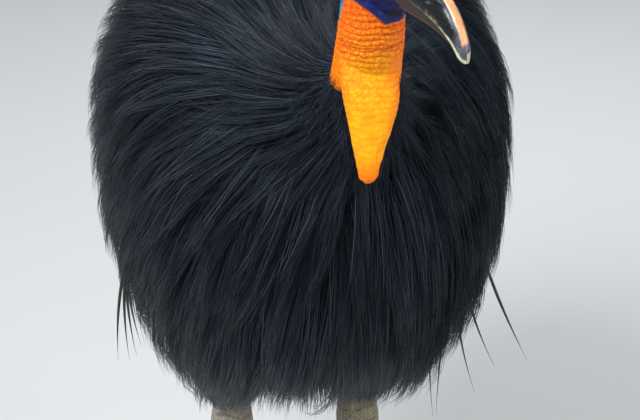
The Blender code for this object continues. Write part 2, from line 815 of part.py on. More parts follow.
def casque_solid(name, home, finish, grow=0.0):
    """A tall helmet: teardrop sections, narrow in front and broad behind, leaning back to a blunt crest."""
    rings = []
    angle = np.arange(14) * 2 * math.pi / 14
    along = np.cos(angle)
    taper = 1.0 - CASQUE_FRONT_NARROWING * (along + 1) / 2
    for k in range(CASQUE_LEVELS):
        share = k / (CASQUE_LEVELS - 1)
        lift = math.sin(share * math.pi / 2) ** 0.9
        height = CASQUE_BASE + (CASQUE_HEIGHT - CASQUE_BASE) * lift - grow * (k == 0)
        rise = height / CASQUE_HEIGHT
        front = CASQUE_FRONT - CASQUE_FRONT_LEAN * rise**2.1 + grow
        rear = CASQUE_REAR + CASQUE_REAR_LEAN * rise**2.2 - grow
        foot = CASQUE_FOOT_WIDTH * (1 - rise) ** 0.8
        half_width = foot + CASQUE_BLADE_WIDTH * (1 - share**4) + CASQUE_CREST_WIDTH + grow
        middle, half_length = (front + rear) / 2, (front - rear) / 2
        if k == CASQUE_LEVELS - 1:
            half_length, half_width = CREST_HALF_LENGTH, CREST_HALF_WIDTH
        places = zip(middle + along * half_length, np.sin(angle) * half_width * taper)
        rings.append([head_place(ahead, left, height) for ahead, left in places])
    return loft(name, rings, home, finish)


def build_casque(parts, cutters, finish):
    casque = casque_solid("casque", parts, finish)
    bed = skull("casque_bed", cutters, finish, GAP)
    combine(casque, "DIFFERENCE", [bed])
    return casque


def bill_width(share):
    """Half width of the upper bill from the gape (0) to the tip (1)."""
    return BILL_WIDENING * (1 - share) ** 0.7 + BILL_TIP_HALF_WIDTH


def bill_top(share):
    """Height of the upper bill's ridge, which slopes gently and then hooks down."""
    return BILL_TOP - BILL_SLOPE * share - BILL_HOOK * share**5


def mouth_line(ahead):
    """Height where the two halves of the bill meet: level at first, then drooping to the tip."""
    share = (ahead - GAPE) / (BILL_TIP - GAPE)
    return MOUTH_HEIGHT + MOUTH_RISE * share - MOUTH_DROOP * share**5


def half_bill(name, count, reach, outline, breadth, far_of, gap, home, finish):
    """One half of the bill: the outline carried from the mouth line to the far side along its reach.

    The last stretch closes in as a quarter of an ellipse, about a level near the mouth line.
    """
    rings = []
    for k in range(count):
        share = 1 - (1 - k / (count - 1)) ** 1.35
        ahead = GAPE + reach * share
        mouth, far = mouth_line(ahead) - gap, far_of(share)
        past = min(max(share - 1 + BILL_ROUNDING, 0) / BILL_ROUNDING, 0.998)
        closing = math.sqrt(1 - past**2)
        half_width = bill_width(share) * breadth * closing
        middle = BLUNT_LEVEL * far + (1 - BLUNT_LEVEL) * mouth
        rings.append(
            [
                head_place(ahead, w * half_width, middle + (mouth + h * (far - mouth) - middle) * closing)
                for w, h in outline
            ]
        )
    return loft(name, rings, home, finish)


def build_upper_bill(parts, cutters, finish):
    reach = BILL_TIP - GAPE
    bill = half_bill(
        "upper_bill", 13, reach, UPPER_BILL_OUTLINE, 1.0, bill_top, 0.0, parts, finish
    )
    cuts = [
        skull("bill_bed", cutters, finish, GAP),
        casque_solid("casque_seat", cutters, finish, 2 * GAP),
    ]
    ahead, left, up = NOSTRIL_PLACE
    for side in (-1, 1):
        place = (ahead, side * left, up)
        cuts.append(head_ball(f"nostril_{side}", place, NOSTRIL_SIZE, cutters, finish, 12, 6))
    combine(bill, "DIFFERENCE", cuts)
    return bill


def build_lower_bill(parts, cutters, finish):
    reach = BILL_TIP - LOWER_BILL_SHORTER - GAPE

    def keel(share):
        """Height of the lower bill's under side, which rises to the chin."""
        depth = LOWER_BILL_EDGE + LOWER_BILL_DEPTH * (1 - share) ** 0.65
        chin = CHIN_DEPTH + (1 - CHIN_DEPTH) * min(share / CHIN_SHARE, 1)
        return mouth_line(GAPE + reach * share) - depth * chin

    bill = half_bill(
        "lower_bill", 11, reach, LOWER_BILL_OUTLINE, LOWER_BILL_NARROWER, keel, 2 * GAP, parts, finish
    )
    combine(bill, "DIFFERENCE", [skull("jaw_bed", cutters, finish, GAP)])
    return bill


def mirrored(points, side):
    """The left side's places, or their mirror images for the right side."""
    return np.asarray(points, float) * np.array([side, 1.0, 1.0])


def thigh_rings(side, grow=0.0):
    path = smooth_path(mirrored((THIGH_TOP, KNEE_SIDE, HOCK), side), 8)
    radii = smooth_values(THIGH_RADII, 8) + grow
    path[0, 2] += grow
    return tube_rings(path, radii, 12)


def thigh_locks(side, home, finish):
    """Two staggered rows of locks that lie down the thigh."""
    axis = smooth_path(mirrored((THIGH_TOP, KNEE_SIDE, HOCK), side), AXIS_PLACES)
    radii = smooth_values(THIGH_RADII, AXIS_PLACES)
    _, ring_side, ring_upper = frames_along(axis)
    first, step, length, last = THIGH_LOCK_PLACES
    locks = []
    for k in range(THIGH_LOCKS):
        row = k % 2
        place = first + step * row
        half, end = place + 6, min(place + length, last)
        angle = 2 * math.pi * (k + 0.5) / THIGH_LOCKS
        around = math.cos(angle) * ring_side[place] + math.sin(angle) * ring_upper[place]
        root = axis[place] + around * (radii[place] - THIGH_LOCK_DEPTH)
        bend = axis[half] + around * (radii[half] + THIGH_LOCK_BEND)
        tip = axis[end] + around * (radii[end] + THIGH_LOCK_LIFT)
        path = bent_path(root, bend, tip)
        outward = np.tile(around, (LOCK_PLACES, 1))
        name, width = f"thigh_lock_{k}", THIGH_LOCK_WIDTHS[row]
        locks.append(lock_solid(name, path, outward, width, THIGH_LOCK_THICKNESS, home, finish))
    return locks


def build_thigh(name, side, parts, cutters, finish):
    thigh = loft(name, thigh_rings(side), parts, finish)
    combine(thigh, "UNION", thigh_locks(side, cutters, finish), "MANIFOLD")
    hock = loft("hock_bed", shank_rings(side, GAP), cutters, finish)
    combine(thigh, "DIFFERENCE", [hock], "MANIFOLD")
    return thigh


def shank_rings(side, grow=0.0):
    """Hock and bare shank, with broad plates down the front."""
    count = 2 * SHANK_SCUTES + 5
    path = smooth_path(mirrored((HOCK, SHANK_MIDDLE, ANKLE), side), count)
    radii = smooth_values(SHANK_RADII, count) + grow
    path[0, 2] += grow
    path[-1, 2] -= grow

    def plates(angle, k):
        front = np.clip(1.6 * np.sin(angle), 0, 1)
        return SCUTE_RISE * front * (k % 2) * (4 < k < count - 2)

    return tube_rings(path, radii, 10, shape=plates)


def toe_path(side, turn, length):
    ahead = np.array([math.sin(turn) * side, -math.cos(turn), 0.0])
    start = mirrored(ANKLE, side) * np.array([1, 1, 0]) + ahead * TOE_START
    return [start + ahead * length * k / 3 + np.array([0, 0, h]) for k, h in enumerate(TOE_HEIGHTS)]


def build_foot(name, side, parts, cutters, finish):
    pad_place = mirrored(ANKLE, side) * np.array([1, 1, 0])

    def pad_surface(points):
        return pad_place + points * np.array(PAD_REACH) + np.array(PAD_SHIFT)

    foot = moulded_ball(name, pad_surface, parts, finish, 12, 9)
    toes = []
    for toe, (turn, length, half_width, _) in TOES.items():
        count = 2 * TOE_SCUTES + 1
        path = smooth_path(toe_path(side, turn, length), count)
        half_widths = np.linspace(*TOE_TAPER, count) * half_width
        _, across, upper = frames_along(path)
        angle = np.arange(8) * 2 * math.pi / 8
        rings = []
        for k in range(count):
            on_top = np.sin(angle) * upper[k][2] > 0
            plate = np.where(on_top, 1 + TOE_PLATE * (k % 2), 1)
            tall = (path[k][2] + TOE_BELOW_FLOOR) * plate * np.sin(angle)
            wide = half_widths[k] * np.cos(angle)
            rings.append(path[k] + wide[:, None] * across[k] + tall[:, None] * upper[k])
        toes.append(loft(f"toe_{toe}", rings, cutters, finish))
    combine(foot, "UNION", toes)
    floor = half_space("floor_cutter", Vector((0, 0, 0)), -math.pi / 2, cutters, finish)
    socket = loft("ankle_bed", shank_rings(side, GAP), cutters, finish)
    beds = [claw_solid("claw_bed", toe, side, cutters, finish, GAP) for toe in TOES]
    combine(foot, "DIFFERENCE", [floor, socket] + beds)
    return foot


def claw_solid(name, toe, side, home, finish, grow=0.0):
    """A tapering claw set into the end of its toe: long and straight on the inner toe."""
    turn, length, _, claw = TOES[toe]
    ahead = np.array([math.sin(turn) * side, -math.cos(turn), 0.0])
    start = mirrored(ANKLE, side) * np.array([1, 1, 0]) + ahead * length
    arch = INNER_CLAW_ARCH if toe == "inner" else CLAW_ARCH
    share = np.linspace(0, 1, 6)
    drop = CLAW_TIP_DROP + arch * math.sin(CLAW_BEND)
    rise = CLAW_START_HEIGHT + arch * np.sin(share * CLAW_BEND) - drop * share**1.5
    path = start + ahead * claw * share[:, None] + np.array([0, 0, 1]) * rise[:, None]
    path[0] -= ahead * grow
    radii = CLAW_RADIUS * (1 - share) ** 0.8 + CLAW_POINT + grow
    return curve_solid(name, path, radii, home, finish, 1)


def quill_paths(side, tips):
    """Shafts fanned from the arm, running inside the coat and free below it."""
    arm = smooth_path(mirrored(WING_ARM, side), 21)
    paths = []
    for k, tip in enumerate(tips):
        root = arm[20 - 4 * (len(tips) - 1 - k)]
        end = mirrored(tip[:3], side)
        share = np.linspace(0, 1, 8)[:, None]
        bulge = np.array([side * tip[3], QUILL_BOW, 0.0])
        paths.append(root * (1 - share) + end * share + bulge * 4 * share * (1 - share))
    return paths


def wing_pieces(name, side, tips, home, finish, grow=0.0):
    arm = smooth_path(mirrored(WING_ARM, side), 6)
    swell = 0.5 + 0.5 * np.sin(np.linspace(WING_ARM_TAPER, math.pi - WING_ARM_TAPER, 6))
    pieces = [curve_solid(name, arm, WING_ARM_RADIUS * swell + grow, home, finish, 1)]
    for k, path in enumerate(quill_paths(side, tips)):
        radii = QUILL_RADIUS * np.linspace(*QUILL_TAPER, len(path)) + grow
        pieces.append(curve_solid(f"{name}_quill_{k}", path, radii, home, finish, 0))
    return pieces


def build_wing(name, side, tips, parts, cutters, finish):
    pieces = wing_pieces(name, side, tips, cutters, finish)
    wing = pieces[0]
    cutters.objects.unlink(wing)
    parts.objects.link(wing)
    combine(wing, "UNION", pieces[1:])
    return wing


def main():
    clear_scene()
    parts = new_collection("cassowary")
    cutters = new_collection("cutters", visible=False)
    finishes = {name: new_finish(name) for name in FINISHES}
    plumage = finishes["plumage"]
    torso = build_torso(parts, cutters, plumage)
    beds = []
    sides = (("left", 1, LEFT_QUILL_TIPS), ("right", -1, RIGHT_QUILL_TIPS))
    for side_name, side, tips in sides:
        build_wing(f"wing_{side_name}", side, tips, parts, cutters, finishes["quill"])
        build_thigh(f"thigh_{side_name}", side, parts, cutters, plumage)
        loft(f"shank_{side_name}", shank_rings(side), parts, finishes["leg_scales"])
        build_foot(f"foot_{side_name}", side, parts, cutters, finishes["leg_scales"])
        for toe in TOES:
            claw_solid(f"claw_{toe}_{side_name}", toe, side, parts, finishes["claw_horn"])
        beds += wing_pieces(f"wing_bed_{side_name}", side, tips, cutters, plumage, 3 * GAP)
        beds.append(loft(f"thigh_bed_{side_name}", thigh_rings(side, GAP), cutters, plumage))
        room = thigh_rings(side, THIGH_COAT)[THIGH_COAT_START:]
        beds.append(loft(f"thigh_room_{side_name}", room, cutters, plumage))
    beds.append(loft("neck_seat", neck_rings(GAP + NECK_FOLD_DEPTH), cutters, plumage))
    combine(torso, "DIFFERENCE", beds, "MANIFOLD")
    part_tail(torso, parts, cutters, plumage)
    build_neck(parts, cutters, finishes["orange_skin"])
    build_wattle(parts, cutters, finishes["orange_skin"])
    build_head(parts, cutters, finishes)
    build_eyes(parts, finishes["eye"])
    build_casque(parts, cutters, finishes["casque_horn"])
    build_upper_bill(parts, cutters, finishes["bill_horn"])
    build_lower_bill(parts, cutters, finishes["bill_horn"])
    stand = bpy.data.objects.new("stance", None)
    stand.location = (*PLAN_SHIFT, 0.0)
    parts.objects.link(stand)
    for obj in parts.objects:
        if obj.type == "MESH":
            obj.parent = stand
            smooth_shading(obj)


main()
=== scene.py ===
"""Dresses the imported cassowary: one skin, plumage of fine strands, horn, eyes, claws and a plain studio.

Metres, +Z up. The bird faces -Y and its left side is at +X.
"""

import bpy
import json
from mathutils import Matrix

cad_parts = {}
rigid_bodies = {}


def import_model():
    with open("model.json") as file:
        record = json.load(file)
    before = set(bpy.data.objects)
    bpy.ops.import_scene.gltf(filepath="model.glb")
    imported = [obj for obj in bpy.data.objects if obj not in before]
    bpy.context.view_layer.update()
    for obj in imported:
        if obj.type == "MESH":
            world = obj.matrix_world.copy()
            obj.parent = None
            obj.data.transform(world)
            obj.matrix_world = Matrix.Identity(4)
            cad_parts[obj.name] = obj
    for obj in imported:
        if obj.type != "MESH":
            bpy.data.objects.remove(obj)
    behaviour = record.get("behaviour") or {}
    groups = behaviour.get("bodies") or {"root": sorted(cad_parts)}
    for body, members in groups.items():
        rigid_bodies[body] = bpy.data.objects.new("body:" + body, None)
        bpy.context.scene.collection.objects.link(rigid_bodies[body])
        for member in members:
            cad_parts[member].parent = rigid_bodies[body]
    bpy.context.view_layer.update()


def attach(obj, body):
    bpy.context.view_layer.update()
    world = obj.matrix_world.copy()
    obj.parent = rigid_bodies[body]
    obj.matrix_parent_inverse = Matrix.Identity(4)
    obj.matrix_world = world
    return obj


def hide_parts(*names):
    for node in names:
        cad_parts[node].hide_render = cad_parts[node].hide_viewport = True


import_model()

import json
import math

import bpy
import numpy as np
from bpy.props import FloatProperty, FloatVectorProperty, IntProperty, PointerProperty
from mathutils import Vector

bl_info = {
    "name": "Cassowary",
    "version": (1, 0, 0),
    "blender": (4, 5, 0),
    "location": "3D View > Sidebar > Cassowary",
    "description": "Skin, plumage, horn, eyes and claws of a life-size standing cassowary",
    "category": "Add Mesh",
}

BODY = "root"
SEED = 23

# The solids are moved by this much in plan, so that the middle of their box is the origin.
PLAN_SHIFT = np.array([-0.006, 0.030, 0.0])

# Plumage: outer surface of the coat, round the body's centre, as in the solids.
BODY_CENTRE = np.array([0.0, 0.08, 0.779]) + PLAN_SHIFT
COAT_SIZES = (0.287, 0.425, 0.44, 0.271, 0.452, 0.36)
CORE_SIZES = (0.242, 0.380, 0.378, 0.236, 0.26, 0.26)
COAT_REAR = 0.44
RUMP_DROP = 0.09
TOP_POWER = 2.6
BELOW_POWER = 2.0
FRONT_POWER = 2.06
REAR_POWER = 1.70
HEM_HEIGHT = 0.345
HEM_MIDDLE = 0.375
HEM_SLOPE = 0.5
HALVINGS = 16
NECK_POLE = np.array([0.0, -0.866, 0.5])
LEFT_POLE = np.array([0.0, -0.40, 0.92])
BELLY_POLE = np.array([0.0, 0.0995, -0.995])
RADIAL_LIE = 1.7
LOWER_LEAN = 0.012

# Neck and wattle.
NECK_ROOT = np.array([(0.0, -0.15, 0.81), (0.010, -0.240, 0.895), (0.029, -0.314, 0.972)]) + PLAN_SHIFT
NECK_ROOT_RADII = (0.105, 0.074, 0.0420)
NECK_AXIS = np.array(
    [
        (0.0300, -0.285, 0.935),
        (0.0290, -0.314, 0.972),
        (0.0275, -0.347, 1.018),
        (0.0268, -0.375, 1.065),
        (0.0255, -0.390, 1.120),
        (0.0260, -0.397, 1.165),
    ]
) + PLAN_SHIFT
NECK_RADII = (0.041, 0.0420, 0.0398, 0.0383, 0.0345, 0.0285)
WATTLE_AXIS = np.array(
    [
        (0.0220, -0.352, 1.0700),
        (0.0220, -0.368, 1.0300),
        (0.0255, -0.384, 0.9850),
        (0.0240, -0.391, 0.9520),
        (0.0215, -0.395, 0.9250),
        (0.0206, -0.398, 0.8975),
    ]
) + PLAN_SHIFT
WATTLE_HALF_WIDTHS = (0.030, 0.0330, 0.0335, 0.0266, 0.0194, 0.0128)
WATTLE_HALF_DEPTHS = (0.012, 0.0140, 0.0145, 0.0125, 0.0100, 0.0080)
WATTLE_END = 0.0170
PEBBLE_HEIGHT = 0.0080
PEBBLE_WIDTH = 0.0088
# Stretches the ripples of the wattle's tip into slanting folds.
TIP_GRAIN = np.array([(2.6, 0.0, 0.9), (0.0, 1.0, 0.0), (-0.5, 0.0, 0.4)])
# Height of each deep crease of the upper neck, and the turns from the front that it runs between.
LONG_CREASES = ((1.0484, -1.3, 1.4), (1.0665, 0.1, 1.5), (1.0757, 0.0, 1.5))
CREASE_WIDTH = 0.0014
CREASE_DEPTH = 0.0013
WATTLE_MIDDLE = 0.0165
WATTLE_STEPS = 60
# Bare skin: height of the collar in front and its rise to the sides, how far from the neck's axis the bare
# skin lies at most, and the height above which all skin is bare.
COLLAR_HEIGHT = 0.966
COLLAR_RISE = 0.012
BARE_REACH = 0.075
BARE_HEIGHT = 1.06
SKIN_FACE_LIMIT = 198000
# Solids that the skin stands for.
FLESH = (
    "torso", "tail_plumage", "neck", "wattle", "head", "thigh_left", "thigh_right",
    "shank_left", "shank_right", "foot_left", "foot_right",
)

# Head, in its own axes: ahead, left and up from the centre of the skull.
HEAD_CENTRE = np.array([0.038, -0.425, 1.165]) + PLAN_SHIFT
HEAD_YAW = math.radians(22)
HEAD_PITCH = math.radians(-12)
# Place ahead, half width, top and bottom of each section of the skull.
SKULL_SECTIONS = (
    (-0.060, 0.012, 0.012, -0.018),
    (-0.052, 0.023, 0.024, -0.030),
    (-0.036, 0.031, 0.034, -0.037),
    (-0.015, 0.0345, 0.038, -0.040),
    (0.005, 0.0335, 0.037, -0.041),
    (0.024, 0.0285, 0.033, -0.040),
    (0.042, 0.0215, 0.026, -0.035),
    (0.056, 0.0150, 0.018, -0.028),
)
EYE_RADIUS = 0.0105
EYE_PLACE = (0.012, 0.0275, 0.009)
EYE_LOOK = (0.22, 1.0, 0.05)
LID_THICKNESS = 0.0014
LID_OPENING = (0.0080, 0.0062)
EAR_PLACE = (-0.030, 0.034, -0.010)
EAR_RADIUS = 0.0045
GAPE = 0.034
BILL_TIP = 0.173
MOUTH_HEIGHT = -0.016
BILL_ROUNDING = 0.07
BLUNT_LEVEL = 0.25
RIDGE_HALF_WIDTH = 0.0062
LOWER_BILL_REACH = BILL_TIP - 0.010 - GAPE
LOWER_BILL_TIP = 0.0036
LOWER_BILL_DEPTH = 0.0250
BILL_RINGS = 150
BILL_SIDES = 81
BILL_FLOOR = 9
NOSTRIL_PLACE = (0.112, 0.0125, -0.001)
THROAT_HEIGHT = 1.0815
THROAT_RISE = 0.029
POUCH_DEPTH = 0.0045
CASQUE_HEIGHT = 0.145
CASQUE_BASE = 0.012
CASQUE_RINGS = 120

# Legs.
THIGH_AXIS = np.array([(0.098, 0.045, 0.56), (0.098, 0.085, 0.455), (0.090, 0.122, 0.345)])
THIGH_RADII = (0.080, 0.060, 0.027)
SHANK_AXIS = np.array([(0.090, 0.122, 0.345), (0.094, 0.110, 0.22), (0.100, 0.085, 0.038)])
SHANK_RADII = (0.026, 0.031, 0.0225, 0.0205, 0.0215, 0.025)
LEG_TOP = 0.36
FOOT_TOP = 0.05
FRONT_PLATES = 15
PLATE_RISE = 0.0012
# Each toe's turn outward from ahead, length, half width and length of claw.
TOES = {
    "inner": (math.radians(-24), 0.100, 0.0165, 0.105),
    "middle": (math.radians(3), 0.165, 0.0180, 0.050),
    "outer": (math.radians(32), 0.128, 0.0150, 0.042),
}
TOE_PLATES = 13
CLAW_RINGS = 44
CLAW_SIDES = 40
SIDES = (("left", 1.0), ("right", -1.0))

# Wings: a short arm under the coat, with bare shafts that hang past it.
WING_ARM = np.array([(0.206, -0.075, 0.735), (0.226, -0.01, 0.715), (0.234, 0.060, 0.665)])
WING_ARM_RADIUS = 0.012
QUILL_RADIUS = 0.0016
SHAFT_BOW = 0.015
# Tip of each shaft and how far the shaft bows outward.
SHAFT_TIPS = {
    "left": (
        (0.174, -0.030, 0.373, -0.020),
        (0.184, 0.000, 0.360, -0.005),
        (0.238, 0.000, 0.391, -0.022),
        (0.266, 0.000, 0.428, -0.023),
        (0.312, 0.000, 0.435, -0.009),
    ),
    "right": (
        (0.257, 0.000, 0.475, 0.012),
        (0.238, 0.070, 0.440, 0.012),
        (0.225, 0.120, 0.420, 0.012),
        (0.215, 0.170, 0.410, 0.012),
        (0.200, 0.215, 0.405, 0.012),
    ),
}

# Coat: steps along a strand, and the size of a strand's patch on the bake map.
STRAND_PLACES = 5
BAKE_PATCH = 0.003
# How far from the poles, as an angle at the body's centre, the body's locks stop and the belly's reach.
NECK_OPENING = math.radians(10)
BELLY_OPENING = math.radians(40)
BELLY_REACH = math.radians(62)
# Strands to a lock, their spread across it and the depth of their layers.
BELLY_STRANDS = (14, 0.016, 0.012)
COLLAR_STRANDS = (12, 0.008, 0.010)
THIGH_STRANDS = (10, 0.008, 0.006)
BODY_SPREAD = 0.012
BODY_LAYER = 0.012
# Added to the value that picks a strand's colour where the strand is grey, a painted highlight; these are
# commoner round the shoulder.
HIGHLIGHT_TONE = 1.0
SHOULDER = np.array([-0.085, -0.20, 0.96])
SHOULDER_REACH = 0.09
# Directions tried for the belly's locks, and the spacing of locks round the neck's root and the thighs.
BELLY_DIRECTIONS = 2000
COLLAR_SPACING = 0.0138
THIGH_SPACING = 0.015
NECK_HAIRS = 3400
HEAD_HAIRS = 900
COAT_PIECES = (
    "coat_rump_right", "coat_flank_right", "coat_side_right", "coat_breast_right",
    "coat_breast_left", "coat_side_left", "coat_flank_left", "coat_rump_left",
)

# Stage: half the floor's width, and each light's place, size, share of the key power and colour.
FLOOR_REACH = 9.0
LIGHTS = {
    "key": ((-1.9, -1.9, 3.3), 1.7, 1.0, (0.95, 0.98, 1.0)),
    "fill": ((2.6, -1.8, 2.0), 2.0, 0.30, (1.0, 0.98, 0.95)),
    "rim": ((0.9, 2.6, 2.8), 1.6, 0.34, (0.92, 0.96, 1.0)),
}
LIGHT_TARGET = (0.0, 0.0, 0.75)


# Shape helpers.


def unit(vectors):
    """Vectors of length one, row by row."""
    vectors = np.asarray(vectors, float)
    return vectors / np.maximum(np.linalg.norm(vectors, axis=-1, keepdims=True), 1e-12)


def smooth_path(points, count):
    """A cubic through the points, with count places evenly spread over its stretches."""
    points = np.asarray(points, float)
    ends = np.concatenate([[2 * points[0] - points[1]], points, [2 * points[-1] - points[-2]]])
    where = np.linspace(0, len(points) - 1, count)
    start = np.minimum(where.astype(int), len(points) - 2)
    step = (where - start)[:, None]
    before, first, last, after = (ends[start + k] for k in range(4))
    slope_in, slope_out = (last - before) / 2, (after - first) / 2
    square = 3 * (last - first) - 2 * slope_in - slope_out
    cube = slope_in + slope_out - 2 * (last - first)
    return first + slope_in * step + square * step**2 + cube * step**3


def smooth_values(values, count):
    """One number for each place of smooth_path."""
    return smooth_path([(value, 0, 0) for value in values], count)[:, 0]


def frames_along(path, across=(1.0, 0.0, 0.0)):
    """Tangent, side and upper direction at each place, with the side kept near the given axis."""
    tangent = unit(np.gradient(path, axis=0))
    side = unit(np.asarray(across) - (tangent @ np.asarray(across))[:, None] * tangent)
    return tangent, side, np.cross(tangent, side)


def fade(values, low, high):
    """0 below low, 1 above high, and a smooth step between them."""
    t = np.clip((values - low) / (high - low), 0, 1)
    return t * t * (3 - 2 * t)


def ripples(points, size, seed, count=9):
    """Wandering values of about -1 to 1: a sum of sines along seeded random directions, size apart."""
    rng = np.random.default_rng(seed)
    ways = unit(rng.normal(size=(count, 3))) * rng.uniform(0.6, 1.5, (count, 1))
    phases = rng.uniform(0, 2 * math.pi, count)
    waves = np.sin(points @ (ways.T * (2 * math.pi / size)) + phases)
    return waves.sum(axis=1) / math.sqrt(2.0 * count)


def bell(values, centre, width):
    """1 at the centre, falling off on both sides as a bell of the given width."""
    return np.exp(-(((values - centre) / width) ** 2))


def groove(values, width):
    """1 where values pass a whole number, falling off as a bell of the given width."""
    return bell(values, np.round(values), width)


def tube(rings, root=None, tip=None):
    """Points and triangles of a closed surface over a grid of rings, its ends drawn to a point each.

    Ring i and angle j give point i * sides + j, the root and the tip follow as the last two points.
    """
    rings = np.asarray(rings, float)
    count, sides, _ = rings.shape
    root = rings[0].mean(axis=0) if root is None else root
    tip = rings[-1].mean(axis=0) if tip is None else tip
    points = np.concatenate([rings.reshape(-1, 3), [root, tip]])
    i, j = (grid.ravel() for grid in np.meshgrid(np.arange(count - 1), np.arange(sides), indexing="ij"))
    following = (j + 1) % sides
    a, b = i * sides + j, i * sides + following
    d, c = a + sides, b + sides
    edge = np.arange(sides)
    after = (edge + 1) % sides
    last = (count - 1) * sides
    full = np.full(sides, count * sides)
    faces = np.concatenate(
        [
            np.stack([a, b, c], 1),
            np.stack([a, c, d], 1),
            np.stack([after, edge, full], 1),
            np.stack([last + edge, last + after, full + 1], 1),
        ]
    )
    return points, faces


def swept(path, radii, sides, across=(1.0, 0.0, 0.0), depths=None, **ends):
    """A round or oval section carried along a path: radii across it, depths the other way."""
    depths = radii if depths is None else depths
    _, side, upper = frames_along(path, across)
    angle = np.arange(sides) * 2 * math.pi / sides
    across_part = (np.asarray(radii)[:, None] * np.cos(angle))[:, :, None] * side[:, None]
    depth_part = (np.asarray(depths)[:, None] * np.sin(angle))[:, :, None] * upper[:, None]
    return tube(path[:, None] + across_part + depth_part, **ends)


def ball(surface, across=48, around=32):
    """A sphere's grid of directions, from pole to pole, moved by surface."""
    polar = (np.arange(around) + 0.5) * math.pi / around
    turn = np.arange(across) * 2 * math.pi / across
    rings = np.stack(
        [
            np.sin(polar)[:, None] * np.cos(turn),
            np.sin(polar)[:, None] * np.sin(turn),
            np.repeat(np.cos(polar)[:, None], across, axis=1),
        ],
        axis=2,
    )[::-1]
    places = surface(rings.reshape(-1, 3)).reshape(rings.shape)
    root, tip = surface(np.array([(0.0, 0.0, -1.0), (0.0, 0.0, 1.0)]))
    return tube(places, root, tip)


def joined(shapes):
    """Several shapes' points and triangles as one."""
    starts = np.cumsum([0] + [len(points) for points, _ in shapes[:-1]])
    return (
        np.concatenate([points for points, _ in shapes]),
        np.concatenate([faces + start for start, (_, faces) in zip(starts, shapes)]),
    )


def facing_out(shape):
    """The shape with its triangles turned round if it is inside out."""
    points, faces = shape
    volume = np.einsum("ij,ij->i", points[faces[:, 0]], np.cross(points[faces[:, 1]], points[faces[:, 2]]))
    return points, faces if volume.sum() > 0 else faces[:, ::-1]


def vertex_normals(points, faces):
    """Mean of the normals of each point's triangles, weighted by their size."""
    corners = points[faces]
    normal = np.cross(corners[:, 1] - corners[:, 0], corners[:, 2] - corners[:, 0])
    total = np.stack(
        [
            sum(np.bincount(faces[:, k], normal[:, axis], len(points)) for k in range(3))
            for axis in range(3)
        ],
        axis=1,
    )
    return unit(total)


def new_mesh(name, points, faces):
    mesh = bpy.data.meshes.new(name)
    mesh.vertices.add(len(points))
    mesh.vertices.foreach_set("co", np.asarray(points, np.float32).ravel())
    mesh.loops.add(faces.size)
    mesh.loops.foreach_set("vertex_index", np.asarray(faces, np.int32).ravel())
    mesh.polygons.add(len(faces))
    mesh.polygons.foreach_set("loop_start", np.arange(len(faces), dtype=np.int32) * 3)
    mesh.update(calc_edges=True)
    mesh.validate()
    return mesh


def new_object(name, shape):
    obj = bpy.data.objects.new(name, new_mesh(name, *shape))
    bpy.context.scene.collection.objects.link(obj)
    return obj


def read_shape(obj):
    """Points and triangles of an object with its modifiers."""
    bpy.context.view_layer.update()
    evaluated = obj.evaluated_get(bpy.context.evaluated_depsgraph_get())
    mesh = evaluated.to_mesh()
    mesh.calc_loop_triangles()
    points = np.empty(len(mesh.vertices) * 3, np.float32)
    mesh.vertices.foreach_get("co", points)
    faces = np.empty(len(mesh.loop_triangles) * 3, np.int32)
    mesh.loop_triangles.foreach_get("vertices", faces)
    evaluated.to_mesh_clear()
    return points.reshape(-1, 3).astype(float), faces.reshape(-1, 3)


def one_skin(shapes, voxel, rounds):
    """A closed skin over overlapping closed shapes: rebuilt on a grid of voxels and smoothed."""
    obj = new_object("skin_work", joined(shapes))
    remesh = obj.modifiers.new("Remesh", "REMESH")
    remesh.mode = "VOXEL"
    remesh.voxel_size = voxel
    smooth = obj.modifiers.new("Smooth", "SMOOTH")
    smooth.factor = 0.5
    smooth.iterations = rounds
    shape = read_shape(obj)
    bpy.data.objects.remove(obj)
    return shape


def combined(shape, operation, others):
    """One Boolean of a closed shape with other closed shapes."""
    obj = new_object("boolean_work", shape)
    group = bpy.data.collections.new("boolean_pieces")
    for other in others:
        group.objects.link(bpy.data.objects.new("boolean_piece", new_mesh("piece", *facing_out(other))))
    modifier = obj.modifiers.new("Boolean", "BOOLEAN")
    modifier.operation = operation
    modifier.solver = "MANIFOLD"
    modifier.operand_type = "COLLECTION"
    modifier.collection = group
    bpy.context.scene.collection.children.link(group)
    shape = read_shape(obj)
    for piece in list(group.objects):
        bpy.data.objects.remove(piece)
    bpy.data.collections.remove(group)
    bpy.data.objects.remove(obj)
    if not len(shape[1]):
        raise RuntimeError("a Boolean left nothing")
    return shape


def add_values(mesh, name, values):
    """A number at each point, which a material reads by name."""
    layer = mesh.attributes.new(name, "FLOAT", "POINT")
    layer.data.foreach_set("value", np.asarray(values, np.float32))


def add_paint(mesh, colours, name="paint"):
    """A colour at each point, which a material reads by name."""
    layer = mesh.attributes.new(name, "FLOAT_COLOR", "POINT")
    rgba = np.ones((len(colours), 4), np.float32)
    rgba[:, :3] = colours
    layer.data.foreach_set("color", rgba.ravel())


def finished(obj, material, nodes=(), smooth=True):
    """Gives a piece its material and its slot, lets it ride on the body and stand for its solids."""
    obj.data.materials.append(material)
    if smooth:
        obj.data.shade_smooth()
    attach(obj, BODY)
    if nodes:
        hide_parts(*nodes)
    return obj


def plain(points, colour):
    """One colour for all the points."""
    return np.ones((len(points), 1)) * np.array(colour)


def mix(first, second, share):
    """Colours blended row by row."""
    share = np.asarray(share)[:, None]
    return first * (1 - share) + np.asarray(second) * share


# Shape of the body and its coat.


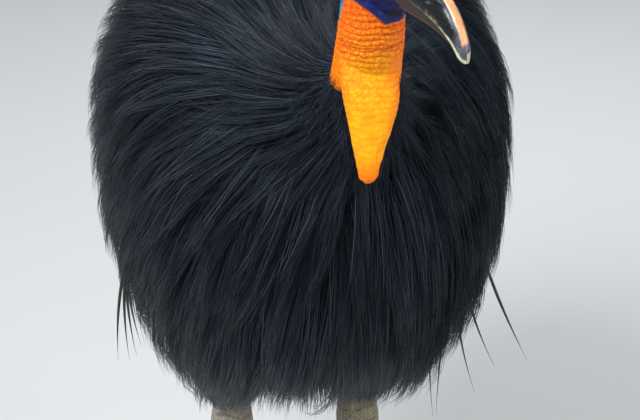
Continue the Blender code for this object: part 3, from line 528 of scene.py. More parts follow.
def coat_level(places, sizes):
    """Below zero inside the rounded body, above zero outside. Places are taken from the body's centre."""
    side, front, rear, top, below, below_rear = sizes
    x, y = places[:, 0], places[:, 1]
    z = places[:, 2] + RUMP_DROP * np.clip(y / COAT_REAR, 0, None) ** 2
    behind = y > 0
    length = np.where(behind, rear, front)
    power = np.where(behind, REAR_POWER, FRONT_POWER)
    plan = (np.abs(x / side) ** power + np.abs(y / length) ** power) ** (1 / power)
    rearward = np.where(behind, y**2 / (x**2 + y**2 + 1e-9), 0)
    under = below + (below_rear - below) * rearward
    height = np.where(z > 0, top, under)
    power = np.where(z > 0, TOP_POWER, BELOW_POWER)
    return plan**power + np.abs(z / height) ** power - 1


def halved(count, farthest, inside):
    """Distance from 0 at which inside stops to hold, found for each row by halving."""
    near, far = np.zeros(count), np.full(count, farthest)
    for _ in range(HALVINGS):
        middle = (near + far) / 2
        within = inside(middle)
        near, far = np.where(within, middle, near), np.where(within, far, middle)
    return near


def reach_along(directions, sizes):
    """Distance from the body's centre to the surface along each direction."""
    return halved(len(directions), 0.9, lambda reach: coat_level(directions * reach[:, None], sizes) < 0)


def lie_of_feathers(directions):
    """Way the coat lies at each direction: the flow from the neck to the belly, from higher on the left."""
    share = fade(directions[:, 0], -0.05, 0.45)[:, None]
    pole = unit(NECK_POLE + (LEFT_POLE - NECK_POLE) * share)
    toward = (directions * pole).sum(axis=1, keepdims=True)
    from_neck = (pole - directions * toward) / (1.0001 - toward) * RADIAL_LIE
    to_belly = BELLY_POLE - directions * (directions @ BELLY_POLE)[:, None]
    to_belly /= (1.0001 - directions @ BELLY_POLE)[:, None]
    return unit(to_belly - from_neck)


def even_directions(count):
    """Directions spread evenly over a sphere, on a spiral with golden steps."""
    step = np.arange(count) + 0.5
    height = 1 - 2 * step / count
    turn = step * math.pi * (3 - math.sqrt(5))
    level = np.sqrt(1 - height**2)
    return np.stack([level * np.cos(turn), level * np.sin(turn), height], axis=1)


def hem_height(y):
    """Height of the plumage's lower edge, which rises towards the breast."""
    return np.maximum(HEM_HEIGHT, HEM_MIDDLE - HEM_SLOPE * (y - PLAN_SHIFT[1]))


def on_side(points, side):
    """Places of the left side, or their mirror images, in the moved frame."""
    return np.asarray(points, float) * np.array([side, 1.0, 1.0]) + PLAN_SHIFT


def head_axes():
    """Ahead, left and up of the head, one to a row."""
    ahead = np.array(
        [
            math.sin(HEAD_YAW) * math.cos(HEAD_PITCH),
            -math.cos(HEAD_YAW) * math.cos(HEAD_PITCH),
            math.sin(HEAD_PITCH),
        ]
    )
    left = np.array([math.cos(HEAD_YAW), math.sin(HEAD_YAW), 0.0])
    return np.stack([ahead, left, np.cross(left, -ahead)])


def head_place(local):
    """Places given ahead of, left of and above the skull's centre, in the row frame."""
    return HEAD_CENTRE + np.asarray(local, float) @ head_axes()


def head_local(points):
    """Places of the row frame, ahead of, left of and above the skull's centre."""
    return (points - HEAD_CENTRE) @ head_axes().T


def skull_shape():
    """Egg-shaped sections across the head, blended along it by a cubic."""
    sections = smooth_path([(a, w, 0) for a, w, _, _ in SKULL_SECTIONS], 46)
    heights = smooth_path([(t, b, 0) for _, _, t, b in SKULL_SECTIONS], 46)
    ahead, half_width = sections[:, 0], sections[:, 1]
    middle, half_height = heights[:, :2].mean(axis=1), (heights[:, 0] - heights[:, 1]) / 2
    angle = np.arange(48) * 2 * math.pi / 48
    local = np.stack(
        [
            np.repeat(ahead[:, None], 48, axis=1),
            half_width[:, None] * np.cos(angle),
            middle[:, None] + half_height[:, None] * np.sin(angle),
        ],
        axis=2,
    )
    return tube(head_place(local))


def head_ball(place, radii):
    """An ellipsoid set in the head's own axes."""
    return ball(lambda d: head_place(np.asarray(place) + d * np.asarray(radii)), 32, 20)


def eye_axes(side):
    """Centre of one eye, and its look, forward and upward axes, in the row frame."""
    centre = head_place(np.array(EYE_PLACE) * (1, side, 1))
    look = unit(np.array(EYE_LOOK) * (1, side, 1)) @ head_axes()
    forward = unit(head_axes()[0] - look * (head_axes()[0] @ look))
    return centre, look, forward, np.cross(look, forward) * side


def eye_ball(side, grow, across, around):
    """A sphere round the centre of one eye, larger than the eye by grow."""
    centre = eye_axes(side)[0]
    return ball(lambda d: centre + d * (EYE_RADIUS + grow), across, around)


def eye_opening(side):
    """An oval plug along the look of the eye, as wide as the gap between the lids."""
    centre, look, forward, upward = eye_axes(side)
    path = centre + look * np.linspace(0.001, 0.03, 4)[:, None]
    angle = np.arange(40) * 2 * math.pi / 40
    wide, tall = LID_OPENING
    almond = np.abs(np.cos(angle)) ** 1.3 * np.sign(np.cos(angle))
    ring = (wide * almond)[:, None] * forward + (tall * np.sin(angle))[:, None] * upward
    return tube(path[:, None] + ring)


# Places measured along the neck and the legs.


def nearest_on(points, path):
    """For each point: share of the path's length at its nearest place, and the offset from there."""
    lengths = np.concatenate([[0], np.cumsum(np.linalg.norm(np.diff(path, axis=0), axis=1))])
    which = np.empty(len(points), int)
    for start in range(0, len(points), 20000):
        part = points[start : start + 20000]
        which[start : start + 20000] = ((part[:, None] - path) ** 2).sum(axis=2).argmin(axis=1)
    return lengths[which] / lengths[-1], points - path[which]


# Materials.


class Finish:
    """A node material built link by link round one Principled shader."""

    def __init__(self, name):
        self.material = bpy.data.materials.new(name)
        self.material.use_nodes = True
        self.tree = self.material.node_tree
        self.shader = self.tree.nodes["Principled BSDF"]
        self.place = self.node("ShaderNodeTexCoord").outputs["Object"]

    def node(self, kind, **inputs):
        made = self.tree.nodes.new(kind)
        for name, value in inputs.items():
            self.feed(made.inputs[name.replace("_", " ")], value)
        return made

    def feed(self, socket, value):
        if isinstance(value, bpy.types.NodeSocket):
            self.tree.links.new(value, socket)
        else:
            socket.default_value = value

    def set(self, **values):
        for name, value in values.items():
            self.feed(self.shader.inputs[name.replace("_", " ")], value)

    def attribute(self, name, output="Fac"):
        made = self.node("ShaderNodeAttribute")
        made.attribute_name = name
        return made.outputs[output]

    def stretched(self, scale):
        """Object coordinates stretched along the axes."""
        made = self.node("ShaderNodeMapping", Vector=self.place)
        made.inputs["Scale"].default_value = scale
        return made.outputs["Vector"]

    def noise(self, scale, detail=3.0, roughness=0.55, place=None):
        made = self.node("ShaderNodeTexNoise", Vector=place or self.place, Scale=scale, Detail=detail)
        made.inputs["Roughness"].default_value = roughness
        return made.outputs["Fac"]

    def cells(self, scale, feature="F1", place=None):
        made = self.node("ShaderNodeTexVoronoi", Vector=place or self.place, Scale=scale)
        made.feature = feature
        return made.outputs["Distance"]

    def ranged(self, value, low, high, to_low=0.0, to_high=1.0):
        made = self.node("ShaderNodeMapRange")
        self.feed(made.inputs["Value"], value)
        for name, number in (
            ("From Min", low),
            ("From Max", high),
            ("To Min", to_low),
            ("To Max", to_high),
        ):
            made.inputs[name].default_value = number
        return made.outputs["Result"]

    def blend(self, first, second, share, kind="MIX"):
        made = self.node("ShaderNodeMix")
        made.data_type = "RGBA"
        made.blend_type = kind
        self.feed(made.inputs[0], share)
        self.feed(made.inputs[6], first)
        self.feed(made.inputs[7], second)
        return made.outputs[2]

    def clouds(self, scale, low=0.0, high=1.0, detail=3.0):
        """Soft patches between two values."""
        return self.ranged(self.noise(scale, detail), 0.3, 0.7, low, high)

    def sum(self, first, second, kind="ADD"):
        made = self.node("ShaderNodeMath")
        made.operation = kind
        self.feed(made.inputs[0], first)
        self.feed(made.inputs[1], second)
        return made.outputs[0]

    def times(self, first, second):
        return self.sum(first, second, "MULTIPLY")

    def bump(self, height, strength, distance):
        made = self.node("ShaderNodeBump", Height=height)
        made.inputs["Strength"].default_value = strength
        made.inputs["Distance"].default_value = distance
        self.set(Normal=made.outputs["Normal"])


def rgba(colour):
    return (*colour, 1.0)


def bare_skin_finish(skin):
    """Bare skin of head, neck and wattle: painted markings on cobbles with painted shade in the creases, and
    a fine grain.
    """
    finish = Finish("bare_skin")
    paint = finish.attribute("paint", "Color")
    faded = finish.blend(paint, (0.84, 0.66, 0.60, 1.0), 0.55, "MULTIPLY")
    colour = finish.blend(faded, paint, finish.clouds(160.0, detail=4.0))
    cobbled = finish.attribute("cobbled")
    place = finish.stretched((1.0, 1.0, 1.25))
    gap = finish.cells(skin.cobbles, "DISTANCE_TO_EDGE", place)
    small_gap = finish.cells(skin.cobbles * 2.1, "DISTANCE_TO_EDGE", place)
    # Painted shade: darker in the creases between the larger and the smaller cobbles.
    crease = finish.times(finish.times(finish.ranged(gap, 0.0, 0.17, 1.0, 0.0), cobbled), 0.8)
    colour = finish.blend(colour, (0.78, 0.36, 0.30, 1.0), crease, "MULTIPLY")
    fine = finish.times(finish.ranged(small_gap, 0.0, 0.14, 0.30, 0.0), cobbled)
    colour = finish.blend(colour, (0.80, 0.50, 0.40, 1.0), fine, "MULTIPLY")
    finish.set(Base_Color=colour, Roughness=finish.clouds(90.0, 0.46, 0.66))
    finish.set(Subsurface_Weight=0.10, Subsurface_Scale=0.004, Specular_IOR_Level=0.16)
    finish.shader.inputs["Subsurface Radius"].default_value = (1.0, 0.35, 0.12)
    pores = finish.times(finish.ranged(finish.cells(900.0), 0.0, 0.6), 0.22)
    grain = finish.sum(pores, finish.times(finish.noise(420.0, 4.0), 0.35))
    domes = finish.times(finish.ranged(gap, 0.0, 0.30), cobbled)
    small_domes = finish.times(finish.ranged(small_gap, 0.0, 0.30, 0.0, 0.35), cobbled)
    finish.bump(finish.sum(grain, finish.sum(domes, small_domes)), skin.grain, 0.0014)
    return finish.material


def feathered_skin_finish(skin):
    """Skin under the coat: painted with the strands' shade colour, as dark as the feathers that hide it."""
    finish = Finish("feathered_skin")
    paint = finish.attribute("paint", "Color")
    finish.set(Base_Color=finish.blend(paint, (0.5, 0.5, 0.5, 1.0), finish.clouds(60.0), "MULTIPLY"))
    finish.set(Roughness=finish.clouds(200.0, 0.7, 0.9))
    finish.bump(finish.noise(300.0), skin.grain, 0.0008)
    return finish.material


def scaled_leg_finish(legs):
    """Plates and small scales: painted grey-olive, with fine cells between the plates."""
    finish = Finish("scaled_leg")
    paint = finish.attribute("paint", "Color")
    edges = finish.ranged(finish.cells(legs.scale_density, "DISTANCE_TO_EDGE"), 0.0, 0.12)
    dusty = finish.ranged(finish.noise(70.0, 5.0), 0.35, 0.7)
    worn = finish.blend(paint, (0.42, 0.38, 0.31, 1.0), finish.times(dusty, 0.45))
    colour = finish.blend(finish.blend(worn, (0.30, 0.27, 0.22, 1.0), 0.8, "MULTIPLY"), worn, edges)
    finish.set(Base_Color=colour, Roughness=finish.ranged(edges, 0.0, 1.0, 0.85, 0.55))
    finish.set(Specular_IOR_Level=0.35)
    finish.bump(finish.sum(edges, finish.times(finish.noise(500.0), 0.4)), 0.55, 0.0007)
    return finish.material


def strand_finish(plumage, name="strands"):
    """Hair-like dark blue-black feathers: painted shade and light, grey painted highlights, browner at some
    tips, a blue sheen.
    """
    finish = Finish(name)
    tone = finish.attribute("tone")
    along = finish.attribute("along")
    # Painted light and shade: each strand's colour runs from the shade colour to the lit colour.
    dark = finish.blend(rgba(plumage.strand_shade_colour), rgba(plumage.lit_colour), finish.ranged(tone, 0.1, 0.95))
    brown = finish.ranged(finish.times(along, tone), 0.55, 0.95, 0.0, 0.6)
    banded = finish.blend(dark, rgba(plumage.tip_colour), brown)
    colour = finish.blend(banded, (0.35, 0.4, 0.5, 1.0), finish.clouds(25.0, 0.0, 0.5), "MULTIPLY")
    # Grey strands are painted highlights.
    grey = finish.ranged(tone, HIGHLIGHT_TONE, HIGHLIGHT_TONE + 0.4)
    finish.set(Base_Color=finish.blend(colour, rgba(plumage.highlight_colour), grey))
    finish.set(Roughness=finish.ranged(tone, 0.0, 1.0, 0.32, 0.46))
    finish.set(Specular_IOR_Level=plumage.gloss, Specular_Tint=rgba(plumage.sheen_colour))
    finish.set(Sheen_Weight=plumage.sheen, Sheen_Tint=rgba(plumage.sheen_colour), Sheen_Roughness=0.35)
    return finish.material


def horn_finish(name, streaks, roughness, density, speckled=0.25):
    """Keratin: painted, with fine streaks along the growth and small pits."""
    finish = Finish(name)
    paint = finish.attribute("paint", "Color")
    grain = finish.noise(density, 5.0, 0.6, finish.stretched(streaks))
    share = finish.ranged(grain, 0.3, 0.7, 0.0, 1.0)
    colour = finish.blend(finish.blend(paint, (0.45, 0.42, 0.40, 1.0), 0.8, "MULTIPLY"), paint, share)
    specks = finish.ranged(finish.noise(density * 6, 2.0), 0.62, 0.74, 0.0, speckled)
    finish.set(Base_Color=finish.blend(colour, (0.55, 0.52, 0.45, 1.0), specks))
    finish.set(Roughness=finish.ranged(grain, 0.3, 0.7, roughness, roughness + 0.16))
    finish.set(Specular_IOR_Level=0.55)
    finish.bump(grain, 0.25, 0.0008)
    return finish.material


def eye_finish():
    """Wet eye: painted iris and pupil under a clear coat."""
    finish = Finish("wet_eye")
    paint = finish.attribute("paint", "Color")
    shaded = finish.blend(paint, (0.5, 0.4, 0.35, 1.0), 0.7, "MULTIPLY")
    colour = finish.blend(shaded, paint, finish.clouds(700.0))
    finish.set(Base_Color=colour, Roughness=0.08, Coat_Weight=1.0, Coat_Roughness=0.02)
    return finish.material


def floor_finish(stage):
    """Pale matt floor with a faint unevenness."""
    finish = Finish("pale_floor")
    uneven = finish.clouds(1.5, 0.0, 0.12, 2.0)
    finish.set(Base_Color=finish.blend(rgba(stage.floor_colour), (0.54, 0.54, 0.53, 1.0), uneven))
    finish.set(Roughness=0.75, Specular_IOR_Level=0.2)
    return finish.material


# Bare and scaled skin: folds, plates and markings.


def throat_edge(turn):
    """Height of the blue throat's lower edge at each turn from the front, which rises to the bird's right."""
    return THROAT_HEIGHT + THROAT_RISE * np.sin(math.pi / 2 * np.clip((0.25 - turn) / 1.3, 0, 1))


def behind_edge(turn, z):
    """How far round each place lies past the front edge of the turquoise, which falls back down the neck."""
    return np.abs(turn) - 1.28 - 0.38 * (turn > 0) - 11.2 * np.maximum(1.1057 - z, 0)


def long_creases(points, turn):
    """1 along the deep creases that cross the upper neck, falling off as a bell above and below."""
    wander = 0.0012 * ripples(points, 0.03, 18)
    total = np.zeros(len(points))
    for height, start, end in LONG_CREASES:
        near = bell(points[:, 2] + wander, height, CREASE_WIDTH)
        near *= fade(turn, start - 0.15, start + 0.15) * (1 - fade(turn, end - 0.15, end + 0.15))
        total = np.maximum(total, near)
    return total


def neck_places(points):
    """Turn from the front (positive to the left) and distance from the neck's axis."""
    path = smooth_path(NECK_AXIS, 90)
    _, offset = nearest_on(points, path)
    return np.arctan2(offset[:, 0], -offset[:, 1]), np.linalg.norm(offset[:, :2], axis=1)


def on_wattle(points):
    """Whether each place is on the wattle below the neck."""
    path = smooth_path(WATTLE_AXIS, WATTLE_STEPS)
    widths = smooth_values(WATTLE_HALF_WIDTHS, WATTLE_STEPS)
    depths = smooth_values(WATTLE_HALF_DEPTHS, WATTLE_STEPS)
    place, offset = nearest_on(points, path)
    which = np.round(place * (WATTLE_STEPS - 1)).astype(int)
    far = (offset[:, 0] / widths[which]) ** 2 + (offset[:, 1] / depths[which]) ** 2
    return (far < 3.0) & (offset[:, 2] > -0.03)


def pebbles(points, turn):
    """Rows of pebbles across neck and wattle, in running bond: dome of each pebble and crease between them.

    Rows are wandering levels, one pebble apart. Along a row, the arc round the neck or the width of the
    wattle is counted in pebbles, from a start that differs from row to row. Both values are 0 to 1.
    """
    wander = 0.30 * ripples(points, 0.045, 3) + 0.12 * ripples(points, 0.014, 4)
    row = points[:, 2] / PEBBLE_HEIGHT + wander
    number = np.round(row)
    ahead = fade(-points[:, 1], 0.385, 0.400) * (1 - fade(points[:, 2], 0.99, 1.03))
    arc = turn * NECK_RADII[0] * (1 - ahead) + (points[:, 0] - WATTLE_MIDDLE) * ahead
    arc = arc / PEBBLE_WIDTH + 1.7 * np.sin(number * 12.9) + 0.45 * ripples(points, 0.022, 5)
    across = arc - np.round(arc)
    tall = np.abs(np.cos(math.pi * (row - number))) ** 0.6
    wide = np.abs(np.cos(math.pi * across)) ** 0.6
    edge, side = 1 - 2 * np.abs(row - number), 1 - 2 * np.abs(across)
    crease = np.maximum(bell(edge, 0, 0.28), 0.75 * bell(side, 0, 0.22) * fade(edge, 0.1, 0.5))
    return tall * (0.42 + 0.58 * wide), crease


def skin_regions(points):
    """What covers each place of the skin, as shares of 0 to 1."""
    turn, away = neck_places(points)
    z = points[:, 2]
    wattle = on_wattle(points)
    collar = COLLAR_HEIGHT + COLLAR_RISE * fade(np.abs(turn), 0.6, 1.1)
    bare = ((z > collar) & (away < BARE_REACH)) | (z > BARE_HEIGHT) | wattle
    edge = throat_edge(turn)
    throat = fade(z, edge - 0.0012, edge + 0.0012)
    behind = fade(behind_edge(turn, z), -0.03, 0.03) * (1 - wattle)
    return {
        "turn": turn,
        "bare": bare,
        "wattle": wattle,
        "blue": np.maximum(throat, behind) * bare,
        "creases": long_creases(points, turn) * bare,
        "leg": z < LEG_TOP,
    }


def leg_places(points):
    """Share down the shank, turn from its front and share along the nearest toe."""
    side = np.where(points[:, 0] > PLAN_SHIFT[0], 1.0, -1.0)
    left = (points - PLAN_SHIFT) * np.stack([side, np.ones_like(side), np.ones_like(side)], 1)
    down, offset = nearest_on(left, smooth_path(SHANK_AXIS, 120))
    turn = np.arctan2(offset[:, 0], -offset[:, 1])
    start = SHANK_AXIS[-1] * (1, 1, 0)
    along, away = [], []
    for angle, length, _, _ in TOES.values():
        ahead = np.array([math.sin(angle), -math.cos(angle), 0.0])
        run = (left - start) @ ahead
        along.append(run / length)
        away.append(np.linalg.norm((left - start - run[:, None] * ahead)[:, :2], axis=1))
    return down, turn, np.choose(np.argmin(away, axis=0), along)


def plate_number(down, turn):
    """Place down the shank counted in front plates, whose seams bow across it."""
    return down * FRONT_PLATES + 0.12 * np.sin(3 * turn)


def plate_front(turn):
    """1 over the broad plates of the shank's front, 0 over the small scales of its sides and back."""
    return 1 - fade(np.abs(turn), 0.85, 1.15)


def neck_relief(points, region, skin):
    """Height of the pebbles and creases of neck and wattle, and the slanting folds of the wattle's tip."""
    dome, _ = pebbles(points, region["turn"])
    z = points[:, 2]
    orange = region["bare"] * (1 - region["blue"])
    depth = skin.wrinkle_depth * (0.08 + 0.32 * fade(z, 0.95, 1.00) + 0.60 * fade(z, 1.00, 1.05))
    depth = np.where(region["wattle"], depth, depth * fade(z, 0.955, 0.985))
    height = orange * depth * (1.5 * dome - 1.1 + 0.3 * ripples(points, 0.016, 6))
    height -= orange * CREASE_DEPTH * region["creases"]
    tip = region["wattle"] * (1 - fade(z, 0.90, 0.955))
    return height + tip * 0.0008 * ripples(points @ TIP_GRAIN, 0.013, 7)


def throat_relief(points, region):
    """Height of the throat's pouch over its lower edge, the dip above it and the blue skin's grain."""
    turn = region["turn"]
    lift = points[:, 2] - throat_edge(turn)
    front = 1 - fade(np.abs(turn - 0.25), 0.7, 1.5)
    pouch = fade(lift, -0.001, 0.004) * (1 - fade(lift, 0.020, 0.045))
    height = front * POUCH_DEPTH * pouch * (1 - fade(turn, 0.75, 1.15))
    height -= front * 0.0035 * bell(lift, 0.014, 0.0045) * (1 - fade(turn, 0.9, 1.3))
    grain = ripples(points, 0.007, 8) + 0.5 * ripples(points, 0.004, 9)
    return height + region["blue"] * 0.00028 * grain


def face_relief(points, region):
    """Height of the fine folds of the cheeks, and the slit of the mouth behind the bill."""
    ahead, _, up = head_local(points).T
    cheek = fade(ahead, -0.055, -0.03) * (1 - fade(ahead, 0.0, 0.03)) * region["blue"]
    folds = cheek * 0.0006 * np.sin(up * 900 + 2.0 * ripples(points, 0.02, 12))
    slit = bell(up, mouth_line(ahead), 0.0011) * fade(ahead, 0.012, 0.022) * (1 - fade(ahead, 0.06, 0.07))
    return folds - slit * 0.0016


def leg_relief(points, region, normal):
    """Height of the plates of shanks and toes, the small scales beside them and the pads below."""
    z = points[:, 2]
    down, turn, along = leg_places(points)
    shank = region["leg"] * (z > FOOT_TOP)
    plate, broad = plate_number(down, turn), plate_front(turn)
    height = shank * broad * PLATE_RISE * (plate % 1 - 1.6 * groove(plate, 0.09))
    scales = groove(down * 46 + 0.5 * np.round(turn * 5), 0.2) + groove(turn * 5, 0.2)
    height -= shank * (1 - broad) * 0.0004 * scales
    toe = region["leg"] * (z < FOOT_TOP) * fade(along, 0.10, 0.25) * fade(normal[:, 2], 0.1, 0.5)
    band = along * TOE_PLATES
    height += toe * 0.0010 * (band % 1 - 1.4 * groove(band, 0.10))
    pads = region["leg"] * (z < 0.02) * (normal[:, 2] < 0)
    return height - pads * 0.0012 * groove(along * 4.0, 0.12)


def folded(points, faces, skin):
    """The skin with its creases, folds and plates: every point moved along its normal by their heights."""
    normal = vertex_normals(points, faces)
    region = skin_regions(points)
    height = neck_relief(points, region, skin) + throat_relief(points, region)
    height += face_relief(points, region) + leg_relief(points, region, normal)
    points = points + normal * height[:, None]
    points[:, 2] = np.maximum(points[:, 2], 0.0)
    return points


def warm_paint(points, region, skin):
    """Orange, yellower low in the middle and on the wattle, red high up and behind; creases painted shade,
    pebble tops painted highlight.
    """
    dome, crease = pebbles(points, region["turn"])
    turn, z = region["turn"], points[:, 2]
    cloud = 0.5 + 0.5 * ripples(points, 0.022, 14)
    yellow = (1 - fade(z, 1.02, 1.11)) * fade(z, 0.882, 0.925)
    from_middle = np.abs(points[:, 0] - WATTLE_MIDDLE)
    centre = 1 - fade(np.where(region["wattle"], from_middle / 0.040, np.abs(turn) / 1.35), 0.35, 0.95)
    # Painted highlight: more yellow on the pebbles' tops, besides the yellower middle.
    share = yellow * (0.20 + 0.80 * centre) * (0.35 + 0.45 * cloud + 0.45 * dome)
    paint = mix(plain(points, skin.orange), skin.yellow, np.clip(share, 0, 1))
    # Red high up and behind is the skin's own; red in the pebbles' creases and the long creases is painted
    # shade.
    for red in (
        fade(z, 1.07, 1.12) * 0.25 * (0.5 + 0.5 * cloud),
        0.75 * crease * (0.12 + 0.88 * fade(z, 0.985, 1.06)),
        0.9 * region["creases"],
        0.8 * fade(np.abs(turn), 1.9, 2.6) * (1 - region["wattle"]),
    ):
        paint = mix(paint, skin.red, red)
    return paint


def blue_paint(points, region, skin):
    """Blue, bright and then painted shadow over the throat's edge, turquoise behind, dark round bill and
    eyes, painted shade in the ears.
    """
    turn, z = region["turn"], points[:, 2]
    local = head_local(points)
    cloud = 0.5 + 0.5 * ripples(points, 0.022, 14)
    lift = z - throat_edge(turn)
    # Painted shadow in the dip above the throat's fold, under the jaw.
    dark = bell(lift, 0.0125, 0.0060) * (1 - fade(np.abs(turn - 0.62), 0.30, 0.65))
    paint = mix(plain(points, skin.blue), skin.throat_shadow, 0.92 * dark)
    bright = bell(lift, 0.0025, 0.0038) * (0.75 + 0.25 * np.sin(turn * 70 + 2 * cloud))
    paint = mix(paint, skin.bright_blue, 0.75 * bright)
    patches = fade(ripples(points, 0.011, 19), 0.1, 1.0) * (1 - fade(turn, 0.15, 0.45))
    paint = mix(paint, skin.bright_blue, 0.55 * patches * fade(lift, 0.003, 0.008))
    hind = fade(behind_edge(turn, z), -0.05, 0.05) * (1 - fade(local[:, 0], 0.0, 0.02))
    cheek = fade(-local[:, 0], -0.005, 0.03) * (1 - fade(np.abs(local[:, 2]), 0.02, 0.04))
    paint = mix(paint, skin.pale_blue, np.clip(hind + 0.55 * cheek, 0, 1) * (0.75 + 0.25 * cloud))
    paint = mix(paint, skin.throat_shadow, 0.75 * fade(local[:, 0], 0.018, 0.04))
    for _, side in SIDES:
        eye = np.linalg.norm(local - np.array(EYE_PLACE) * (1, side, 1), axis=1)
        paint = mix(paint, skin.throat_shadow, 0.8 * (1 - fade(eye, EYE_RADIUS, EYE_RADIUS * 1.6)))
        # Painted shade in the ear openings.
        ear = np.linalg.norm(local - np.array(EAR_PLACE) * (1, side, 1), axis=1)
        paint = mix(paint, (0.004, 0.005, 0.01), 1 - fade(ear, EAR_RADIUS * 0.8, EAR_RADIUS * 1.25))
    shade = np.clip(ripples(points, 0.008, 16), 0, 1)
    return mix(paint, np.array(skin.blue) * 0.35, 0.35 * shade)


def leg_paint(points, legs):
    """Grey plates, more olive on the left leg, with dark seams and soles."""
    z = points[:, 2]
    down, turn, along = leg_places(points)
    olive = 0.20 + 0.55 * (points[:, 0] > PLAN_SHIFT[0]) + 0.25 * ripples(points, 0.09, 17)
    paint = mix(plain(points, legs.grey), legs.olive, np.clip(olive, 0, 1))
    seams = groove(plate_number(down, turn), 0.08) * plate_front(turn)
    toe_seams = groove(along * TOE_PLATES, 0.12) * fade(along, 0.1, 0.25)
    paint = mix(paint, legs.seam, 0.8 * np.where(z > FOOT_TOP, seams, toe_seams))
    return mix(paint, legs.seam, 0.6 * (1 - fade(z, 0.0, 0.012)))


def skin_paint(points, skin, legs, plumage):
    """Colour of each place of the skin: bare, scaled or hidden under the coat."""
    region = skin_regions(points)
    bare = mix(warm_paint(points, region, skin), blue_paint(points, region, skin), region["blue"])
    # Skin under the coat is painted with the strands' shade colour: painted shade.
    covered = np.where(region["bare"][:, None], bare, plain(points, plumage.strand_shade_colour))
    return np.where(region["leg"][:, None], leg_paint(points, legs), covered)


def toe_shape(side, turn, length, half_width):
    """An oval section carried along one toe, lower towards its tip."""
    ahead = np.array([math.sin(turn), -math.cos(turn), 0.0])
    start = SHANK_AXIS[-1] * (1, 1, 0) + ahead * 0.006
    heights = (0.021, 0.016, 0.0135, 0.012)
    points = [start + ahead * length * k / 3 + np.array([0, 0, h]) for k, h in enumerate(heights)]
    path = smooth_path(on_side(points, side), 30)
    share = np.linspace(0, 1, 30)
    joints = 1 + 0.05 * np.cos(share * 3 * 2 * math.pi)
    widths = (1.12 - 0.32 * share) * half_width * joints
    return swept(path, widths, 28, depths=(path[:, 2] + 0.0012) * joints)


def foot_shapes(side):
    """Pad and toes of one foot."""
    pad = on_side(SHANK_AXIS[-1] * (1, 1, 0), side) + np.array([0.0, 0.004, 0.001])
    shapes = [ball(lambda d: pad + d * np.array([0.033, 0.038, 0.050]), 32, 20)]
    for turn, length, half_width, _ in TOES.values():
        shapes.append(toe_shape(side, turn, length, half_width))
    return shapes


def wattle_shape():
    """An oval section carried down the wattle's axis, with a quarter of an ellipse for its rounded tip."""
    turn = np.linspace(0, math.pi / 2, 8)[1:-1]
    drop = np.array([0.0, 0.0, -WATTLE_END])
    path = np.concatenate([smooth_path(WATTLE_AXIS, 50), WATTLE_AXIS[-1] + drop * np.sin(turn)[:, None]])
    widths, depths = (
        np.append(smooth_values(sizes, 50), sizes[-1] * np.cos(turn))
        for sizes in (WATTLE_HALF_WIDTHS, WATTLE_HALF_DEPTHS)
    )
    return swept(path, widths, 40, depths=depths, tip=WATTLE_AXIS[-1] + drop)


def build_skin_shape(skin):
    """The whole skin as one closed surface: fine on head, neck, wattle and legs, coarser under the coat.

    Balls a lid's thickness larger than the eyes make the lids. The eyes' places and openings and the ears
    are cut out last.
    """
    neck = swept(smooth_path(NECK_AXIS, 60), smooth_values(NECK_RADII, 60), 56)
    front = [skull_shape(), neck, wattle_shape()]
    trunk = [
        swept(smooth_path(NECK_ROOT, 24), smooth_values(NECK_ROOT_RADII, 24) - 0.003, 40),
        ball(lambda d: BODY_CENTRE + d * (reach_along(d, CORE_SIZES) - 0.004)[:, None], 72, 48),
    ]
    lower, cuts = [], []
    for _, side in SIDES:
        front.append(eye_ball(side, LID_THICKNESS, 32, 20))
        thigh = smooth_path(on_side(THIGH_AXIS, side), 24)
        trunk.append(swept(thigh, smooth_values(THIGH_RADII, 24) - 0.002, 32))
        shank = smooth_path(on_side(SHANK_AXIS, side), 60)
        lower += [swept(shank, smooth_values(SHANK_RADII, 60), 40), *foot_shapes(side)]
        ear = head_ball(np.array(EAR_PLACE) * (1, side, 1), (EAR_RADIUS, 0.007, EAR_RADIUS * 1.25))
        cuts += [eye_ball(side, 0.0002, 40, 26), eye_opening(side), ear]
    fine = [one_skin(front, skin.fine_voxel, 5), one_skin(lower, skin.leg_voxel, 4)]
    return combined(combined(one_skin(trunk, skin.coarse_voxel, 4), "UNION", fine), "DIFFERENCE", cuts)


# Strands of the plumage.


def lock_steps(plumage):
    """Roots, lengths and sways of the body's locks, as many to an area of skin everywhere."""
    rng = np.random.default_rng(SEED)
    starts = even_directions(3 * plumage.locks)
    area = reach_along(starts, CORE_SIZES) ** 2
    chance = np.clip(area / area.sum() * plumage.locks, 0, 1)
    starts = starts[rng.random(len(starts)) < chance]
    clear_of_neck = starts @ NECK_POLE < math.cos(NECK_OPENING)
    starts = starts[clear_of_neck & (starts @ BELLY_POLE < math.cos(BELLY_OPENING))]
    rear = np.clip(starts[:, 1], 0, 1) ** 2
    lengths = plumage.strand_length * rng.uniform(0.82, 1.18, len(starts)) * (1 + 0.35 * rear)
    sway = 0.16 * ripples(starts, 0.7, SEED) + 0.10 * ripples(starts, 0.22, SEED + 1)
    return starts, lengths, sway + rng.normal(0, 0.05, len(starts)), rng


